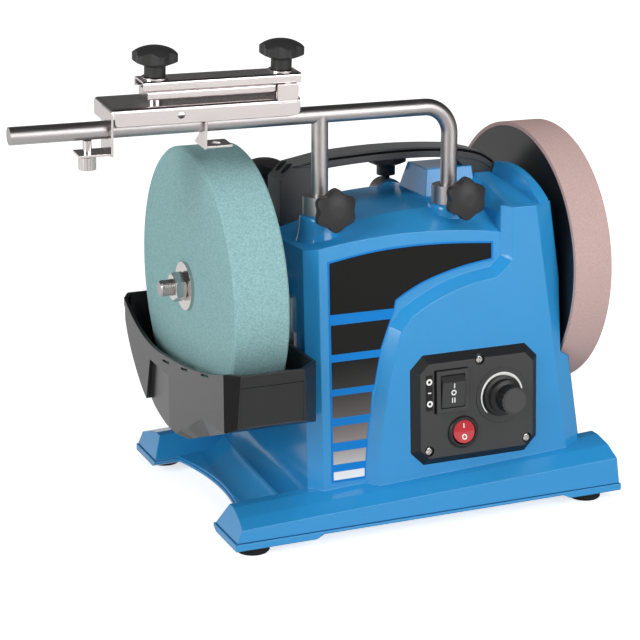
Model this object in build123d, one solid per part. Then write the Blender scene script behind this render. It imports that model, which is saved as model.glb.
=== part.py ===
from build123d import *
import math
import os

# Wet sharpening machine: water stone on the left, leather honing wheel on the right.
# Millimetres. +Z is up, +X runs along the shaft to the honing wheel, the controls face -Y.
# The origin is on the floor in the middle of the four feet.

# Wheels and shaft
SHAFT_Z = 168.0
WHEEL_R = 100.0
STONE_X = -105.0
STONE_W = 40.0
HONE_X = 117.0
HONE_W = 30.0
LEATHER_T = 3.0
FLANGE_R = 17.5
FLANGE_T = 5.0
WASHER_T = 2.5
THREAD_R = 6.0
SEAT_R = 7.5
SHAFT_R = 8.0
SHAFT_LEFT = -172.5
SHAFT_RIGHT = 166.0
NUT_AF = 19.0
NUT_T = 13.0
FIT = 0.05

# Bearings
LEFT_BEARING_X = -90.0
RIGHT_BEARING_X = 97.0
BEARING_W = 11.0
BEARING_R = 17.5
BOSS_R = 22.0
LEFT_BOSS_X = -92.0
RIGHT_BOSS_X = 111.0

# Casing walls, which lean in by the same draft at front and rear
PAN_Z = 12.0
WALL_LOW_Z = 18.0
WALL_HIGH_Z = 206.0
WALL_LOW_Y = 89.0
WALL_HIGH_Y = 79.0
LEFT_X = -84.0
LEFT_CHAMFER = 8.5
JOIN_X = 66.0
RIGHT_LOW_X = 128.4
RIGHT_HIGH_X = 98.9
SKIN = 5.0
RIDGE_Y = -47.5
PLATEAU_Y = 35.0
STEP_Y = 48.0
DECK_Z = 196.0
RAISE = 7.0
TOP_Z = 250.0

# Base
PAN_LIP = 1.0
PAN_LOW_Z = 7.0
LEG_LEFT = -150.0
LEG_RIGHT = 154.0
LEG_OUT_Y = 112.0
LEG_IN_Y = 68.0
FLARE_Y = 70.0
LIP_MID = -121.0
LIP_R = 230.0
FLARE_RIGHT = 138.0
FOOT_X = 133.0
FOOT_Y = 97.0
FOOT_R = 12.0

# Tool support bar and its sleeves
BAR_R = 6.0
BAR_Y = -50.0
BAR_Z = 294.0
BAR_LEFT = -281.0
BAR_BEND = 20.0
LEG_X1 = -62.4
LEG_X2 = 38.0
BAR_LOW_Z = 130.0
SLEEVE_BORE = 6.05
SLEEVE_TUBE_R = 8.5
COLLAR_R = 12.0
COLLAR_Z1 = 224.0
COLLAR_Z2 = 237.0
SLEEVE_LOW_Z = 160.0
CLAMP_Z = 231.6
REAR_SLEEVE_Z = 210.0
REAR_SLEEVE_Y1 = 19.0
REAR_COLLAR_Y1 = 50.0
REAR_COLLAR_Y2 = 63.0

# Star knobs
KNOB_R = 15.5
KNOB_VALLEY = 12.6
KNOB_LOBES = 6
KNOB_CAP = 10.5
HUB_R = 7.2
HUB_L = 9.5
STUD_R = 3.0
STUD_FIT = 0.1
STUD_GAP = 0.3

# Control panel, placed by X and Z on the raised front face
PANEL_T = 5.2
PANEL_EDGE = 5.7
PANEL_X1 = -10.4
PANEL_X2 = 91.7
PANEL_Z1 = 42.4
PANEL_Z2 = 123.4
PANEL_CUT = 10.0
PANEL_SCREWS = [(42.8, 116.6), (2.1, 53.4), (81.3, 53.3)]
PANEL_SINK = 2.4
ROCKER_X = 20.5
ROCKER_Z = 96.3
ROCKER_PIVOT = -1.7
POWER_X = 28.8
POWER_Z = 65.0
POWER_PIVOT = -2.2
SPEED_X = 60.3
SPEED_Z = 88.4

# Drive train
GEAR_MODULE = 1.5
GEAR_TEETH = 54
PINION_TEETH = 18
GEAR_X = -20.0
GEAR_W = 14.0
PRESSURE = math.radians(20)
BACKLASH = 0.12

# Water trough
TROUGH_LEFT = -158.5
TROUGH_RIGHT = -89.5
TROUGH_WALL = 2.5
TROUGH_RIM = 135.5
TROUGH_FRONT = [(-121.5, 135.5), (-119.5, 98.0), (-112.0, 93.6), (-24.0, 60.8), (18.0, 59.6)]
TROUGH_REAR = [(18.0, 59.6), (41.0, 61.3), (61.4, 65.8), (87.3, 83.1), (107.1, 106.5), (115.5, 135.5)]
TROUGH_CUTS = (9.0, 14.0, 5.0)
TROUGH_SLITS = [(19.6, 109.0, 5.0, 110.6), (-22.0, 114.6, -35.5, 117.0), (-65.0, 122.5, -80.0, 125.4)]
TROUGH_STUD_Y = 40.0
TROUGH_STUD_Z = 110.0
TROUGH_DROP = 22.0
BRACKET_T = 2.3

# Jig that rides on the bar, tilted about the bar's axis
JIG_TILT = 5.5
SHEET_T = 1.5
JIG_X1 = -215.5
JIG_X2 = -82.0
JIG_KNOB_X1 = -181.0
JIG_KNOB_X2 = -91.0
JIG_KNOB_Y = -47.0
JAW_Y1 = -57.0
JAW_Y2 = -37.0
JAW_Z = 319.5

# Screws, rear cover, inlet and small fits
FOOT_SCREW_R = 2.0
FOOT_HEAD_R = 4.2
FOOT_HEAD_Z = 3.6
BOSS_TOP_R = 12.5
SWITCH_W = 20.0
SWITCH_H = 26.0
COVER_X = 10.0
COVER_Z = 108.0
COVER_W = 148.0
COVER_H = 132.0
COVER_SEAT = 2.0
COVER_OUT = 1.0
COVER_SCREWS = [(-70.0, -62.0), (70.0, -62.0), (-70.0, 62.0), (70.0, 62.0), (0.0, -62.0), (0.0, 62.0)]
COVER_SCREW_R = 1.5
GLAND_X = 95.0
GLAND_Z = 52.0
GLAND_R = 8.0
HANDLE_Y1 = -7.0
HANDLE_Y2 = 17.0
HANDLE_SCREWS = [(-67.0, 0.0, 222.0), (-67.0, 11.0, 222.0), (90.0, 0.0, 240.0), (90.0, 11.0, 240.0)]
HANDLE_HEAD_R = 3.4
HANDLE_SCREW_R = 2.0
HANDLE_SCREW_L = 24.0
WELL_GAP = 3.5
KNOB_GAP = 2.5
REAR_CLAMP_Y = 56.5
PANEL_SCREW_R = 1.5
POWER_BODY_R = 10.0
POWER_WELL_R = 9.2
POWER_TILT = 8.0
WELL_W = 19.0
WELL_H = 24.6
BUSHING_R = 4.0
BRACKET_SCREWS = [(-47.0, 135.5), (47.0, 135.5)]
BRACKET_SCREW_R = 2.0
BOARD_POST_X = (-64.0, -10.0)
BOARD_POST_Y = (-58.0, -14.0)
BOARD_Z = 18.0
MOTOR_X = 31.0
MOTOR_SHAFT_R = 4.0
GEARBOX_R = 26.0
GEARBOX_NOSE_R = 11.0
TRUNNION_R = 1.5
LOCK_R = 3.0
LOCK_X = -228.5
TAB_Z = 278.0
CHANNEL_Y1 = -62.0
CHANNEL_Y2 = -22.0
CHANNEL_Z1 = 298.0
CHANNEL_Z2 = 308.0
JAW_GAP = 0.2
LUG_ROOM = 0.35
JAW_TOP = 326.0

WALL_SLOPE = (WALL_LOW_Y - WALL_HIGH_Y) / (WALL_HIGH_Z - WALL_LOW_Z)
RIGHT_SLOPE = (RIGHT_LOW_X - RIGHT_HIGH_X) / (WALL_HIGH_Z - WALL_LOW_Z)
STRETCH = math.sqrt(1 + WALL_SLOPE**2)
FRONT = Plane(origin=(0, -WALL_LOW_Y, WALL_LOW_Z), x_dir=(1, 0, 0), z_dir=(0, -1, WALL_SLOPE))
REAR = Plane(origin=(0, WALL_LOW_Y, WALL_LOW_Z), x_dir=(-1, 0, 0), z_dir=(0, 1, WALL_SLOPE))
REAR_INWARD = Plane(origin=(0, WALL_LOW_Y, WALL_LOW_Z), x_dir=(1, 0, 0), z_dir=(0, -1, -WALL_SLOPE))
RAISED = FRONT.offset(RAISE)
SHAFT_AXIS = Axis((0, 0, SHAFT_Z), (1, 0, 0))
PINION_Z = SHAFT_Z - GEAR_MODULE * (GEAR_TEETH + PINION_TEETH) / 2


# Shared forms

def wall_y(z):
    return WALL_LOW_Y - (z - WALL_LOW_Z) * WALL_SLOPE


def right_x(z):
    return RIGHT_LOW_X - (z - WALL_LOW_Z) * RIGHT_SLOPE


def up(z):
    return (z - WALL_LOW_Z) * STRETCH


def polygon(points):
    return make_face(Polyline(*points, close=True))


def along_x(points, x1, x2):
    return extrude(Plane.YZ.offset(x1) * polygon(points), x2 - x1)


def along_y(points, y1, y2):
    return extrude(Plane.XZ.offset(-y2) * polygon(points), y2 - y1)


def box(x1, x2, y1, y2, z1, z2):
    return Pos((x1 + x2) / 2, (y1 + y2) / 2, (z1 + z2) / 2) * Box(x2 - x1, y2 - y1, z2 - z1)


def rectangle(x1, x2, y1, y2):
    return Pos((x1 + x2) / 2, (y1 + y2) / 2) * Rectangle(x2 - x1, y2 - y1)


def tapered(z1, low, z2, high):
    return loft([Plane.XY.offset(z1) * rectangle(*low), Plane.XY.offset(z2) * rectangle(*high)], ruled=True)


def rod_x(x1, x2, r, y=0, z=SHAFT_Z):
    return extrude(Plane.YZ.offset(x1) * Pos(y, z) * Circle(r), x2 - x1)


def rod_y(y1, y2, r, x, z):
    return extrude(Plane.XZ.offset(-y2) * Pos(x, z) * Circle(r), y2 - y1)


def rod_z(z1, z2, r, x, y):
    return extrude(Plane.XY.offset(z1) * Pos(x, y) * Circle(r), z2 - z1)


def turned(points):
    profile = Plane.XZ * polygon([(x, SHAFT_Z + r) for x, r in points])
    return revolve(profile, SHAFT_AXIS, 360)


def ring_x(x1, x2, r1, r2):
    return turned([(x1, r1), (x1, r2), (x2, r2), (x2, r1)])


def on_panel(x, z, height=0):
    return RAISED * Pos(x, up(z), height)


# Moulded housing

def crown_slice(plane, low, left, middle, right):
    arc_x = -10.0
    return plane * make_face([
        Line((LEFT_X, low), (JOIN_X, low)),
        Line((JOIN_X, low), (JOIN_X, right)),
        ThreePointArc((JOIN_X, right), (arc_x, middle), (LEFT_X, left)),
        Line((LEFT_X, left), (LEFT_X, low)),
    ])


def crowned_core():
    front = (204.0, 211.2, 205.4)
    plateau = (204.0, 219.0, 219.0)
    step_y = 44.0
    step_drop = 4.0
    deck = (195.0, 196.5, 196.0)
    rear = (191.0, 192.5, 192.0)
    slices = [crown_slice(FRONT, up(PAN_Z), *[up(z) for z in front])]
    slices.append(crown_slice(Plane.XZ.offset(-RIDGE_Y), PAN_Z, *plateau))
    slices.append(crown_slice(Plane.XZ.offset(-PLATEAU_Y), PAN_Z, *plateau))
    slices.append(crown_slice(Plane.XZ.offset(-step_y), PAN_Z, *[z - step_drop for z in plateau]))
    slices.append(crown_slice(Plane.XZ.offset(-STEP_Y), PAN_Z, *deck))
    slices.append(crown_slice(REAR_INWARD, up(PAN_Z), *[up(z) for z in rear]))
    core = loft(slices, ruled=True)
    return core - loft([left_corner(PAN_Z), left_corner(TOP_Z)], ruled=True)


def left_corner(z):
    c = LEFT_CHAMFER
    x, y = LEFT_X, -wall_y(z)
    corner = [(x - c, y - c), (x + c, y - c), (x + c, y), (x, y + c), (x - c, y + c)]
    return Plane.XY.offset(z) * polygon(corner)


def right_taper():
    low = (JOIN_X, right_x(PAN_Z), -wall_y(PAN_Z), wall_y(PAN_Z))
    high = (JOIN_X, right_x(TOP_Z), -wall_y(TOP_Z), wall_y(TOP_Z))
    return tapered(PAN_Z, low, TOP_Z, high)


def control_side():
    crest = [(-7.0, 234.0), (24.0, 236.0), (40.0, 226.0)]
    brow_z = 223.5
    rear_z = 192.0
    side = [(-wall_y(PAN_Z) - RAISE, PAN_Z), (-wall_y(brow_z) - RAISE, brow_z), *crest]
    side += [(STEP_Y, DECK_Z), (wall_y(rear_z), rear_z), (wall_y(PAN_Z), PAN_Z)]
    body = right_taper() & along_x(side, JOIN_X, RIGHT_LOW_X + SKIN)
    bevel_z = 219.0
    bevel = TOP_Z - bevel_z
    side_bevel = [(JOIN_X, bevel_z), (JOIN_X + bevel, TOP_Z), (JOIN_X, TOP_Z)]
    return body - along_y(side_bevel, -WALL_LOW_Y, WALL_LOW_Y)


def raised_face():
    low = up(PAN_Z)
    high = up(TOP_Z)
    far = RIGHT_LOW_X + RAISE
    sweep_low = (-43.5, low - RAISE)
    sweep_mid = (-34.1, up(102.0))
    sweep_top = (-23.0, up(145.5))
    knee = (-13.5, up(157.0))
    brow_mid = (20.0, up(173.3))
    brow_end = (57.0, up(180.8))
    corner = (65.5, up(188.5))
    outline = make_face([
        Line(sweep_low, (far, low - RAISE)),
        Line((far, low - RAISE), (far, high)),
        Line((far, high), (corner[0], high)),
        Line((corner[0], high), corner),
        Line(corner, brow_end),
        ThreePointArc(brow_end, brow_mid, knee),
        Line(knee, sweep_top),
        ThreePointArc(sweep_top, sweep_mid, sweep_low),
    ])
    bevel_angle = 45
    slab = extrude(FRONT * outline, RAISE, taper=bevel_angle)
    brow = [(-7.0, 234.0), (-120.0, 219.3)]
    above = along_x([*brow, (brow[1][0], TOP_Z + SKIN), (brow[0][0], TOP_Z + SKIN)], LEFT_X, far)
    below = box(LEFT_X, far, -LEG_OUT_Y, 0, -SKIN, PAN_Z)
    return slab - above - below


def right_bevel():
    edge_low = (121.2, -96.3)
    edge_high = (87.4, -83.7)
    run, fall = 65.0, 30.0

    def corner(z, edge):
        x, y = edge
        return Plane.XY.offset(z) * polygon([(x - run, y - fall), (x + run, y - fall), (x + run, y + fall)])

    return loft([corner(PAN_Z, edge_low), corner(TOP_Z, edge_high)], ruled=True)


def right_rim():
    low_z = 205.0
    lip_x, lip_z, crest_x, inner_x, inner_z, over_z = 103.8, 221.0, 99.8, 95.0, 230.0, 246.0
    front_y, back_y = -86.0, HANDLE_Y1 - 0.5
    front = (front_y, 221.5)
    middle = (-56.0, 237.6)
    crest = (back_y, 241.4)
    side = make_face([
        ThreePointArc(front, middle, crest),
        Line(crest, (back_y, low_z)),
        Line((back_y, low_z), (front_y, low_z)),
        Line((front_y, low_z), front),
    ])
    section = [(inner_x, low_z), (right_x(low_z), low_z), (lip_x, lip_z), (lip_x, over_z), (crest_x, over_z),
               (inner_x, inner_z)]
    length = 2 * WHEEL_R
    return along_y(section, front_y, back_y) & extrude(Plane.YZ * side, length)


def leg_section(edge_z, shoulder_z, ridge_z, inset):
    shoulder_y, ridge_y1, ridge_y2 = -100.0, -86.0, -78.0
    out_y = -LEG_OUT_Y + inset
    in_y = -LEG_IN_Y - inset
    return polygon([(out_y, PAN_Z), (out_y, edge_z - inset), (shoulder_y, shoulder_z - inset),
                    (ridge_y1, ridge_z - inset), (ridge_y2, ridge_z - inset), (in_y, PAN_Z)])


def base_leg(inset):
    x1 = LEG_LEFT + inset
    x2 = LEG_RIGHT - inset
    left_heights = (21.5, 25.5, 28.5)
    right_heights = (32.5, 40.0, 43.5)
    left = Plane.YZ.offset(x1) * leg_section(*left_heights, inset)
    right = Plane.YZ.offset(x2) * leg_section(*right_heights, inset)
    leg = loft([left, right], ruled=True)
    lean, tall, beyond = 21.0, 60.0, 8.0
    right_lean = lean / 3
    left_end = [(x1, PAN_Z), (x1 + lean, tall), (x1 - beyond, tall), (x1 - beyond, PAN_Z)]
    right_end = [(x2, PAN_Z), (x2 - right_lean, tall), (x2 + beyond, tall), (x2 + beyond, PAN_Z)]
    return leg - along_y(left_end, -LEG_OUT_Y, 0) - along_y(right_end, -LEG_OUT_Y, 0)


def left_flare_slice(y, wall_z, edge_x, lip_x):
    edge_z, edge_w, edge_fall, lip_z, out_x, out_z, bow = 24.2, 1.5, 0.8, 14.6, -134.0, 12.8, 2.3
    inner = LEFT_X + 1
    foot, edge = (LEFT_X, wall_z), (edge_x + edge_w, edge_z + edge_fall)
    low_edge, lip, out = (edge_x, edge_z), (lip_x, lip_z), (out_x, out_z)
    upper_mid = ((foot[0] + edge[0]) / 2 + bow, (foot[1] + edge[1]) / 2 - bow)
    lower_mid = ((low_edge[0] + lip[0]) / 2 + bow, (low_edge[1] + lip[1]) / 2 - bow)
    return Plane.XZ.offset(-y) * make_face([
        Line((out_x, PAN_Z), (inner, PAN_Z)),
        Line((inner, PAN_Z), (inner, wall_z)),
        Line((inner, wall_z), foot),
        ThreePointArc(foot, upper_mid, edge),
        Line(edge, low_edge),
        ThreePointArc(low_edge, lower_mid, lip),
        Line(lip, out),
        Line(out, (out_x, PAN_Z)),
    ])


def base_flares():
    right_top, right_lip = 34.0, PAN_Z + 4
    wall_x = right_x(right_top)
    right = make_face([
        Line((wall_x - SKIN, PAN_Z), (FLARE_RIGHT, PAN_Z)),
        Line((FLARE_RIGHT, PAN_Z), (FLARE_RIGHT, right_lip)),
        ThreePointArc((FLARE_RIGHT, right_lip), (130.4, 22.5), (wall_x, right_top)),
        Line((wall_x, right_top), (wall_x - SKIN, PAN_Z)),
    ])
    half = FLARE_Y + SKIN
    rear, middle, front = (50.0, -91.5, -113.5), (35.0, -99.0, -120.3), (26.0, -102.0, -121.0)
    slices = [left_flare_slice(y, *slice) for y, slice in ((half, rear), (0, middle), (-half, front))]
    left = loft(slices)
    left -= Pos(LIP_MID - LIP_R, 0, PAN_Z) * Cylinder(LIP_R, 2 * half)
    return left, extrude(Plane.XZ.offset(-half) * right, 2 * half)


def trumpet_boss():
    foot_r, foot_z, low_z, waist = 19.5, 201.0, 190.0, (13.8, 211.5)
    profile = make_face([
        Line((0, low_z), (foot_r, low_z)),
        Line((foot_r, low_z), (foot_r, foot_z)),
        ThreePointArc((foot_r, foot_z), waist, (BOSS_TOP_R, COLLAR_Z1)),
        Line((BOSS_TOP_R, COLLAR_Z1), (0, COLLAR_Z1)),
        Line((0, COLLAR_Z1), (0, low_z)),
    ])
    return revolve(Plane.XZ * profile, Axis.Z, 360)


def housing_skin():
    body = crowned_core() + control_side() + raised_face()
    body += right_rim()
    body -= right_bevel()
    hump_low, hump_low_z = (33.0, 78.0, -22.0, 34.0), 205.0
    hump_high, hump_high_z = (41.0, 78.0, -9.0, 24.0), 240.0
    body += tapered(hump_low_z, hump_low, hump_high_z, hump_high)
    rear_r, rear_y = 10.5, 20.0
    boss = trumpet_boss()
    for x in (LEG_X1, LEG_X2):
        body += Pos(x, BAR_Y, 0) * boss
        body += rod_y(rear_y, REAR_COLLAR_Y1, rear_r, x, REAR_SLEEVE_Z)
    leg = base_leg(0)
    body += leg
    body += mirror(leg, Plane.XZ)
    for flare in base_flares():
        body += flare
    return body + rod_x(LEFT_BOSS_X, LEFT_X + SKIN, BOSS_R)


def housing_cavity():
    roof = 8.0
    high_z = DECK_Z - roof
    low = (LEFT_X + SKIN, HONE_X - WELL_GAP - SKIN, -wall_y(PAN_Z) + SKIN, wall_y(PAN_Z) - SKIN)
    high = (LEFT_X + SKIN, right_x(high_z) - SKIN, -wall_y(high_z) + SKIN, wall_y(high_z) - SKIN)
    crown_low, crown_high, crown_z = (-58.0, 62.0, -44.0, 34.0), (-38.0, 62.0, -38.0, 28.0), 211.0
    brow_low, brow_high, brow_z = (74.0, 93.0, -68.0, 38.0), (78.0, 89.0, -62.0, 30.0), 218.0
    gear_room = 2.0
    gear_r = GEAR_MODULE * (GEAR_TEETH + 2) / 2
    leg_wall = 4.0
    cavity = tapered(PAN_Z, low, high_z, high)
    cavity += tapered(high_z - 1, crown_low, crown_z, crown_high)
    cavity += tapered(high_z - 1, brow_low, brow_z, brow_high)
    cavity += rod_x(GEAR_X - gear_room, GEAR_X + GEAR_W + gear_room, gear_r + gear_room)
    leg = base_leg(leg_wall)
    cavity += leg
    return cavity + mirror(leg, Plane.XZ)


def main_housing(skin):
    body = skin - housing_cavity()
    inner_boss, boss_z1, boss_z2 = 10.0, 185.0, 206.0
    body += rod_x(LEFT_X, LEFT_X + SKIN + inner_boss, BOSS_R)
    body += rod_x(RIGHT_BEARING_X - SKIN, RIGHT_BOSS_X, BOSS_R)
    shaft_hole = SEAT_R + 1
    body -= rod_x(LEFT_BEARING_X, LEFT_X + SKIN + inner_boss + 1, BEARING_R + FIT)
    body -= rod_x(LEFT_BOSS_X - 1, LEFT_BEARING_X + 1, shaft_hole)
    body -= rod_x(RIGHT_BEARING_X - SKIN - 1, RIGHT_BEARING_X + BEARING_W, BEARING_R + FIT)
    body -= rod_x(RIGHT_BEARING_X, RIGHT_BOSS_X + SKIN, shaft_hole)
    for x in (LEG_X1, LEG_X2):
        body += rod_z(boss_z1, boss_z2, BOSS_TOP_R, x, BAR_Y)
        body -= rod_z(SLEEVE_LOW_Z, COLLAR_Z1 + 1, SLEEVE_TUBE_R + FIT, x, BAR_Y)
        body -= rod_y(REAR_SLEEVE_Y1 - 1, REAR_COLLAR_Y1 + 1, SLEEVE_TUBE_R + FIT, x, REAR_SLEEVE_Z)
    body -= rod_x(HONE_X - WELL_GAP, 2 * HONE_X, WHEEL_R + WELL_GAP)
    body -= panel_cut_outs()
    return body - rear_cut_outs() - left_cut_outs()


def panel_cut_outs():
    through, room, pot_room, screw_depth = 40.0, 0.6, 9.0, 16.0
    cuts = on_panel(ROCKER_X, ROCKER_Z) * Box(SWITCH_W + room, SWITCH_H + room, through)
    cuts += on_panel(POWER_X, POWER_Z) * Cylinder(POWER_BODY_R + FIT, through)
    cuts += on_panel(SPEED_X, SPEED_Z) * Cylinder(pot_room, through)
    for x, z in PANEL_SCREWS:
        cuts += on_panel(x, z) * Cylinder(PANEL_SCREW_R + FIT, screw_depth)
    return cuts


def rear_cut_outs():
    through, frame_w, seat_gap = 40.0, 16.0, 0.4
    cuts = on_cover(0, 0) * Box(COVER_W - frame_w, COVER_H - frame_w, through)
    cuts += on_cover(0, 0, -COVER_SEAT / 2) * Box(COVER_W + seat_gap, COVER_H + seat_gap, COVER_SEAT)
    for x, z in COVER_SCREWS:
        cuts += on_cover(x, z) * Cylinder(COVER_SCREW_R + FIT, through)
    return cuts + REAR * Pos(-GLAND_X, up(GLAND_Z), 0) * Cylinder(GLAND_R + FIT, through)


def left_cut_outs():
    pocket_t, pocket_half = 3.4, 7.2
    low = TROUGH_STUD_Z - TROUGH_DROP - pocket_half
    high = TROUGH_STUD_Z + pocket_half
    cuts = Part()
    for y in (-TROUGH_STUD_Y, TROUGH_STUD_Y):
        cuts += box(LEFT_X - 1, LEFT_X + pocket_t, y - pocket_half, y + pocket_half, low, high)
    for y, z in BRACKET_SCREWS:
        cuts += rod_x(LEFT_X - 1, LEFT_X + SKIN + 1, BRACKET_SCREW_R + FIT, y, z)
    for x, y, floor in HANDLE_SCREWS:
        cuts += rod_z(floor - HANDLE_SCREW_L - 1, floor, HANDLE_SCREW_R + FIT, x, y)
    return cuts


# Base tray, rear cover, feet and mains inlet

def base_pan():
    side = LEG_OUT_Y + PAN_LIP
    bars = rectangle(LEG_LEFT - PAN_LIP, LEG_RIGHT + PAN_LIP, LEG_IN_Y - PAN_LIP, side)
    middle = rectangle(LEG_LEFT, FLARE_RIGHT + PAN_LIP, -LEG_IN_Y, LEG_IN_Y)
    middle -= Pos(LIP_MID - LIP_R, 0) * Circle(LIP_R - PAN_LIP)
    plan = bars + mirror(bars, Plane.XZ) + middle
    pan = extrude(Plane.XY.offset(PAN_LOW_Z) * plan, PAN_Z - PAN_LOW_Z)
    arch = 3.0
    ramp = 6.0
    long_x1, long_x2 = -91.0, 112.0
    short_y = 72.0
    under = PAN_LOW_Z - arch
    over = PAN_LOW_Z + arch
    pan -= along_y([(long_x1 - ramp, under), (long_x1 + ramp, over), (long_x2 - ramp, over),
                    (long_x2 + ramp, under)], -2 * side, 2 * side)
    pan -= along_x([(-short_y - ramp, under), (-short_y + ramp, over), (short_y - ramp, over),
                    (short_y + ramp, under)], 2 * LEG_LEFT, 2 * LEG_RIGHT)
    post_r = 3.0
    for x in BOARD_POST_X:
        for y in BOARD_POST_Y:
            pan += rod_z(PAN_Z, BOARD_Z, post_r, x, y)
    for x in (-FOOT_X, FOOT_X):
        for y in (-FOOT_Y, FOOT_Y):
            pan -= rod_z(PAN_LOW_Z, PAN_Z, FOOT_SCREW_R + FIT, x, y)
    return pan


def rubber_feet():
    sole, room = 1.0, 0.4
    foot = rod_z(0, PAN_LOW_Z, FOOT_R, 0, 0)
    foot = chamfer(foot.edges().group_by(Axis.Z)[0], sole)
    foot -= rod_z(0, FOOT_HEAD_Z, FOOT_HEAD_R + room, 0, 0)
    foot -= rod_z(0, PAN_LOW_Z, FOOT_SCREW_R + FIT, 0, 0)
    return Compound(children=[Pos(x, y, 0) * foot for x in (-FOOT_X, FOOT_X) for y in (-FOOT_Y, FOOT_Y)])


def foot_screws():
    low_z, tip_z = 1.0, 17.0
    screw = rod_z(low_z, FOOT_HEAD_Z, FOOT_HEAD_R, 0, 0) + rod_z(FOOT_HEAD_Z, tip_z, FOOT_SCREW_R, 0, 0)
    return Compound(children=[Pos(x, y, 0) * screw for x in (-FOOT_X, FOOT_X) for y in (-FOOT_Y, FOOT_Y)])


def on_cover(x, z, height=0):
    return REAR * Pos(-COVER_X + x, up(COVER_Z) + z, height)


def rear_cover():
    cover = on_cover(0, 0, (COVER_OUT - COVER_SEAT) / 2) * Box(COVER_W, COVER_H, COVER_OUT + COVER_SEAT)
    slot_l, slot_h, pitch, rows, column_x = 44.0, 3.4, 8.0, 9, 30.0
    for row in range(rows):
        z = (row - (rows - 1) / 2) * pitch
        for x in (-column_x, column_x):
            cover -= on_cover(x, z) * Box(slot_l, slot_h, 4 * COVER_SEAT)
    for x, z in COVER_SCREWS:
        cover -= on_cover(x, z) * Cylinder(COVER_SCREW_R + FIT, 4 * COVER_SEAT)
    return cover


def rear_cover_screws():
    head_r, head_t, reach = 3.2, 1.8, 9.0
    screw = rod_z(0, head_t, head_r, 0, 0) + rod_z(-reach, 0, COVER_SCREW_R, 0, 0)
    return Compound(children=[on_cover(x, z, COVER_OUT) * screw for x, z in COVER_SCREWS])


def cable_gland():
    bore_r, flange_r, neck_r, nose_r = 3.6, 11.0, 9.0, 6.4
    inside, flange_t, neck_h, nose_h = -9.0, 4.0, 11.0, 16.0
    profile = [(bore_r, inside), (GLAND_R, inside), (GLAND_R, 0), (flange_r, 0), (flange_r, flange_t),
               (neck_r, flange_t), (neck_r, neck_h), (nose_r, nose_h), (bore_r, nose_h)]
    gland = revolve(Plane.XZ * polygon(profile), Axis.Z, 360)
    return REAR * Pos(-GLAND_X, up(GLAND_Z), 0) * gland


# Carry handle

def carry_handle(skin):
    outer = [(-75.0, 200.0), (-75.0, 240.0), (-65.0, 250.0), (-40.0, 254.5)]
    crest = (20.0, 257.0)
    tail = [(70.0, 254.0), (86.0, 250.0), (97.0, 243.0), (100.5, 236.0), (100.5, 222.0)]
    inner = [(72.0, 222.0), (72.0, 240.0), (64.0, 247.5)]
    arch_mid = (12.0, 249.0)
    inner_left = [(-38.0, 246.5), (-46.0, 240.0), (-50.0, 200.0)]
    edges = [Line(a, b) for a, b in zip(outer, outer[1:])]
    edges.append(ThreePointArc(outer[-1], crest, tail[0]))
    edges += [Line(a, b) for a, b in zip(tail + inner, (tail + inner)[1:])]
    edges.append(ThreePointArc(inner[-1], arch_mid, inner_left[0]))
    edges += [Line(a, b) for a, b in zip(inner_left, inner_left[1:])]
    edges.append(Line(inner_left[-1], outer[0]))
    handle = extrude(Plane.XZ.offset(-HANDLE_Y2) * make_face(edges), HANDLE_Y2 - HANDLE_Y1)
    handle -= skin
    room = 0.6
    for x, y, floor in HANDLE_SCREWS:
        handle -= rod_z(floor, TOP_Z + SKIN, HANDLE_HEAD_R + room, x, y)
        handle -= rod_z(floor - HANDLE_SCREW_L, floor, HANDLE_SCREW_R + FIT, x, y)
    return handle


def handle_screws():
    head_t = 3.5
    pieces = []
    for x, y, floor in HANDLE_SCREWS:
        head = rod_z(floor, floor + head_t, HANDLE_HEAD_R, x, y)
        pieces.append(head + rod_z(floor - HANDLE_SCREW_L, floor, HANDLE_SCREW_R, x, y))
    return Compound(children=pieces)


# Sleeves, support bar and star knobs

def bar_sleeve(x):
    sleeve = rod_z(SLEEVE_LOW_Z, COLLAR_Z1, SLEEVE_TUBE_R, x, BAR_Y)
    sleeve += rod_z(COLLAR_Z1, COLLAR_Z2, COLLAR_R, x, BAR_Y)
    sleeve -= rod_z(SLEEVE_LOW_Z, COLLAR_Z2, SLEEVE_BORE, x, BAR_Y)
    return sleeve - rod_y(BAR_Y - COLLAR_R - 1, BAR_Y, STUD_R + STUD_FIT, x, CLAMP_Z)


def rear_sleeve(x):
    tube = rod_y(REAR_SLEEVE_Y1, REAR_COLLAR_Y1, SLEEVE_TUBE_R, x, REAR_SLEEVE_Z)
    sleeve = tube + rod_y(REAR_COLLAR_Y1, REAR_COLLAR_Y2, COLLAR_R, x, REAR_SLEEVE_Z)
    sleeve -= rod_y(REAR_SLEEVE_Y1, REAR_COLLAR_Y2, SLEEVE_BORE, x, REAR_SLEEVE_Z)
    return sleeve - rod_z(REAR_SLEEVE_Z, REAR_SLEEVE_Z + COLLAR_R + 1, STUD_R + STUD_FIT, x, REAR_CLAMP_Y)


def support_bar():
    corners = [(BAR_LEFT, BAR_Y, BAR_Z), (LEG_X2, BAR_Y, BAR_Z), (LEG_X2, BAR_Y, BAR_LOW_Z)]
    path = FilletPolyline(*corners, radius=BAR_BEND)
    bar = sweep(Plane.YZ.offset(BAR_LEFT) * Pos(BAR_Y, BAR_Z) * Circle(BAR_R), path)
    return bar + rod_z(BAR_LOW_Z, BAR_Z, BAR_R - FIT, LEG_X1, BAR_Y)


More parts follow.
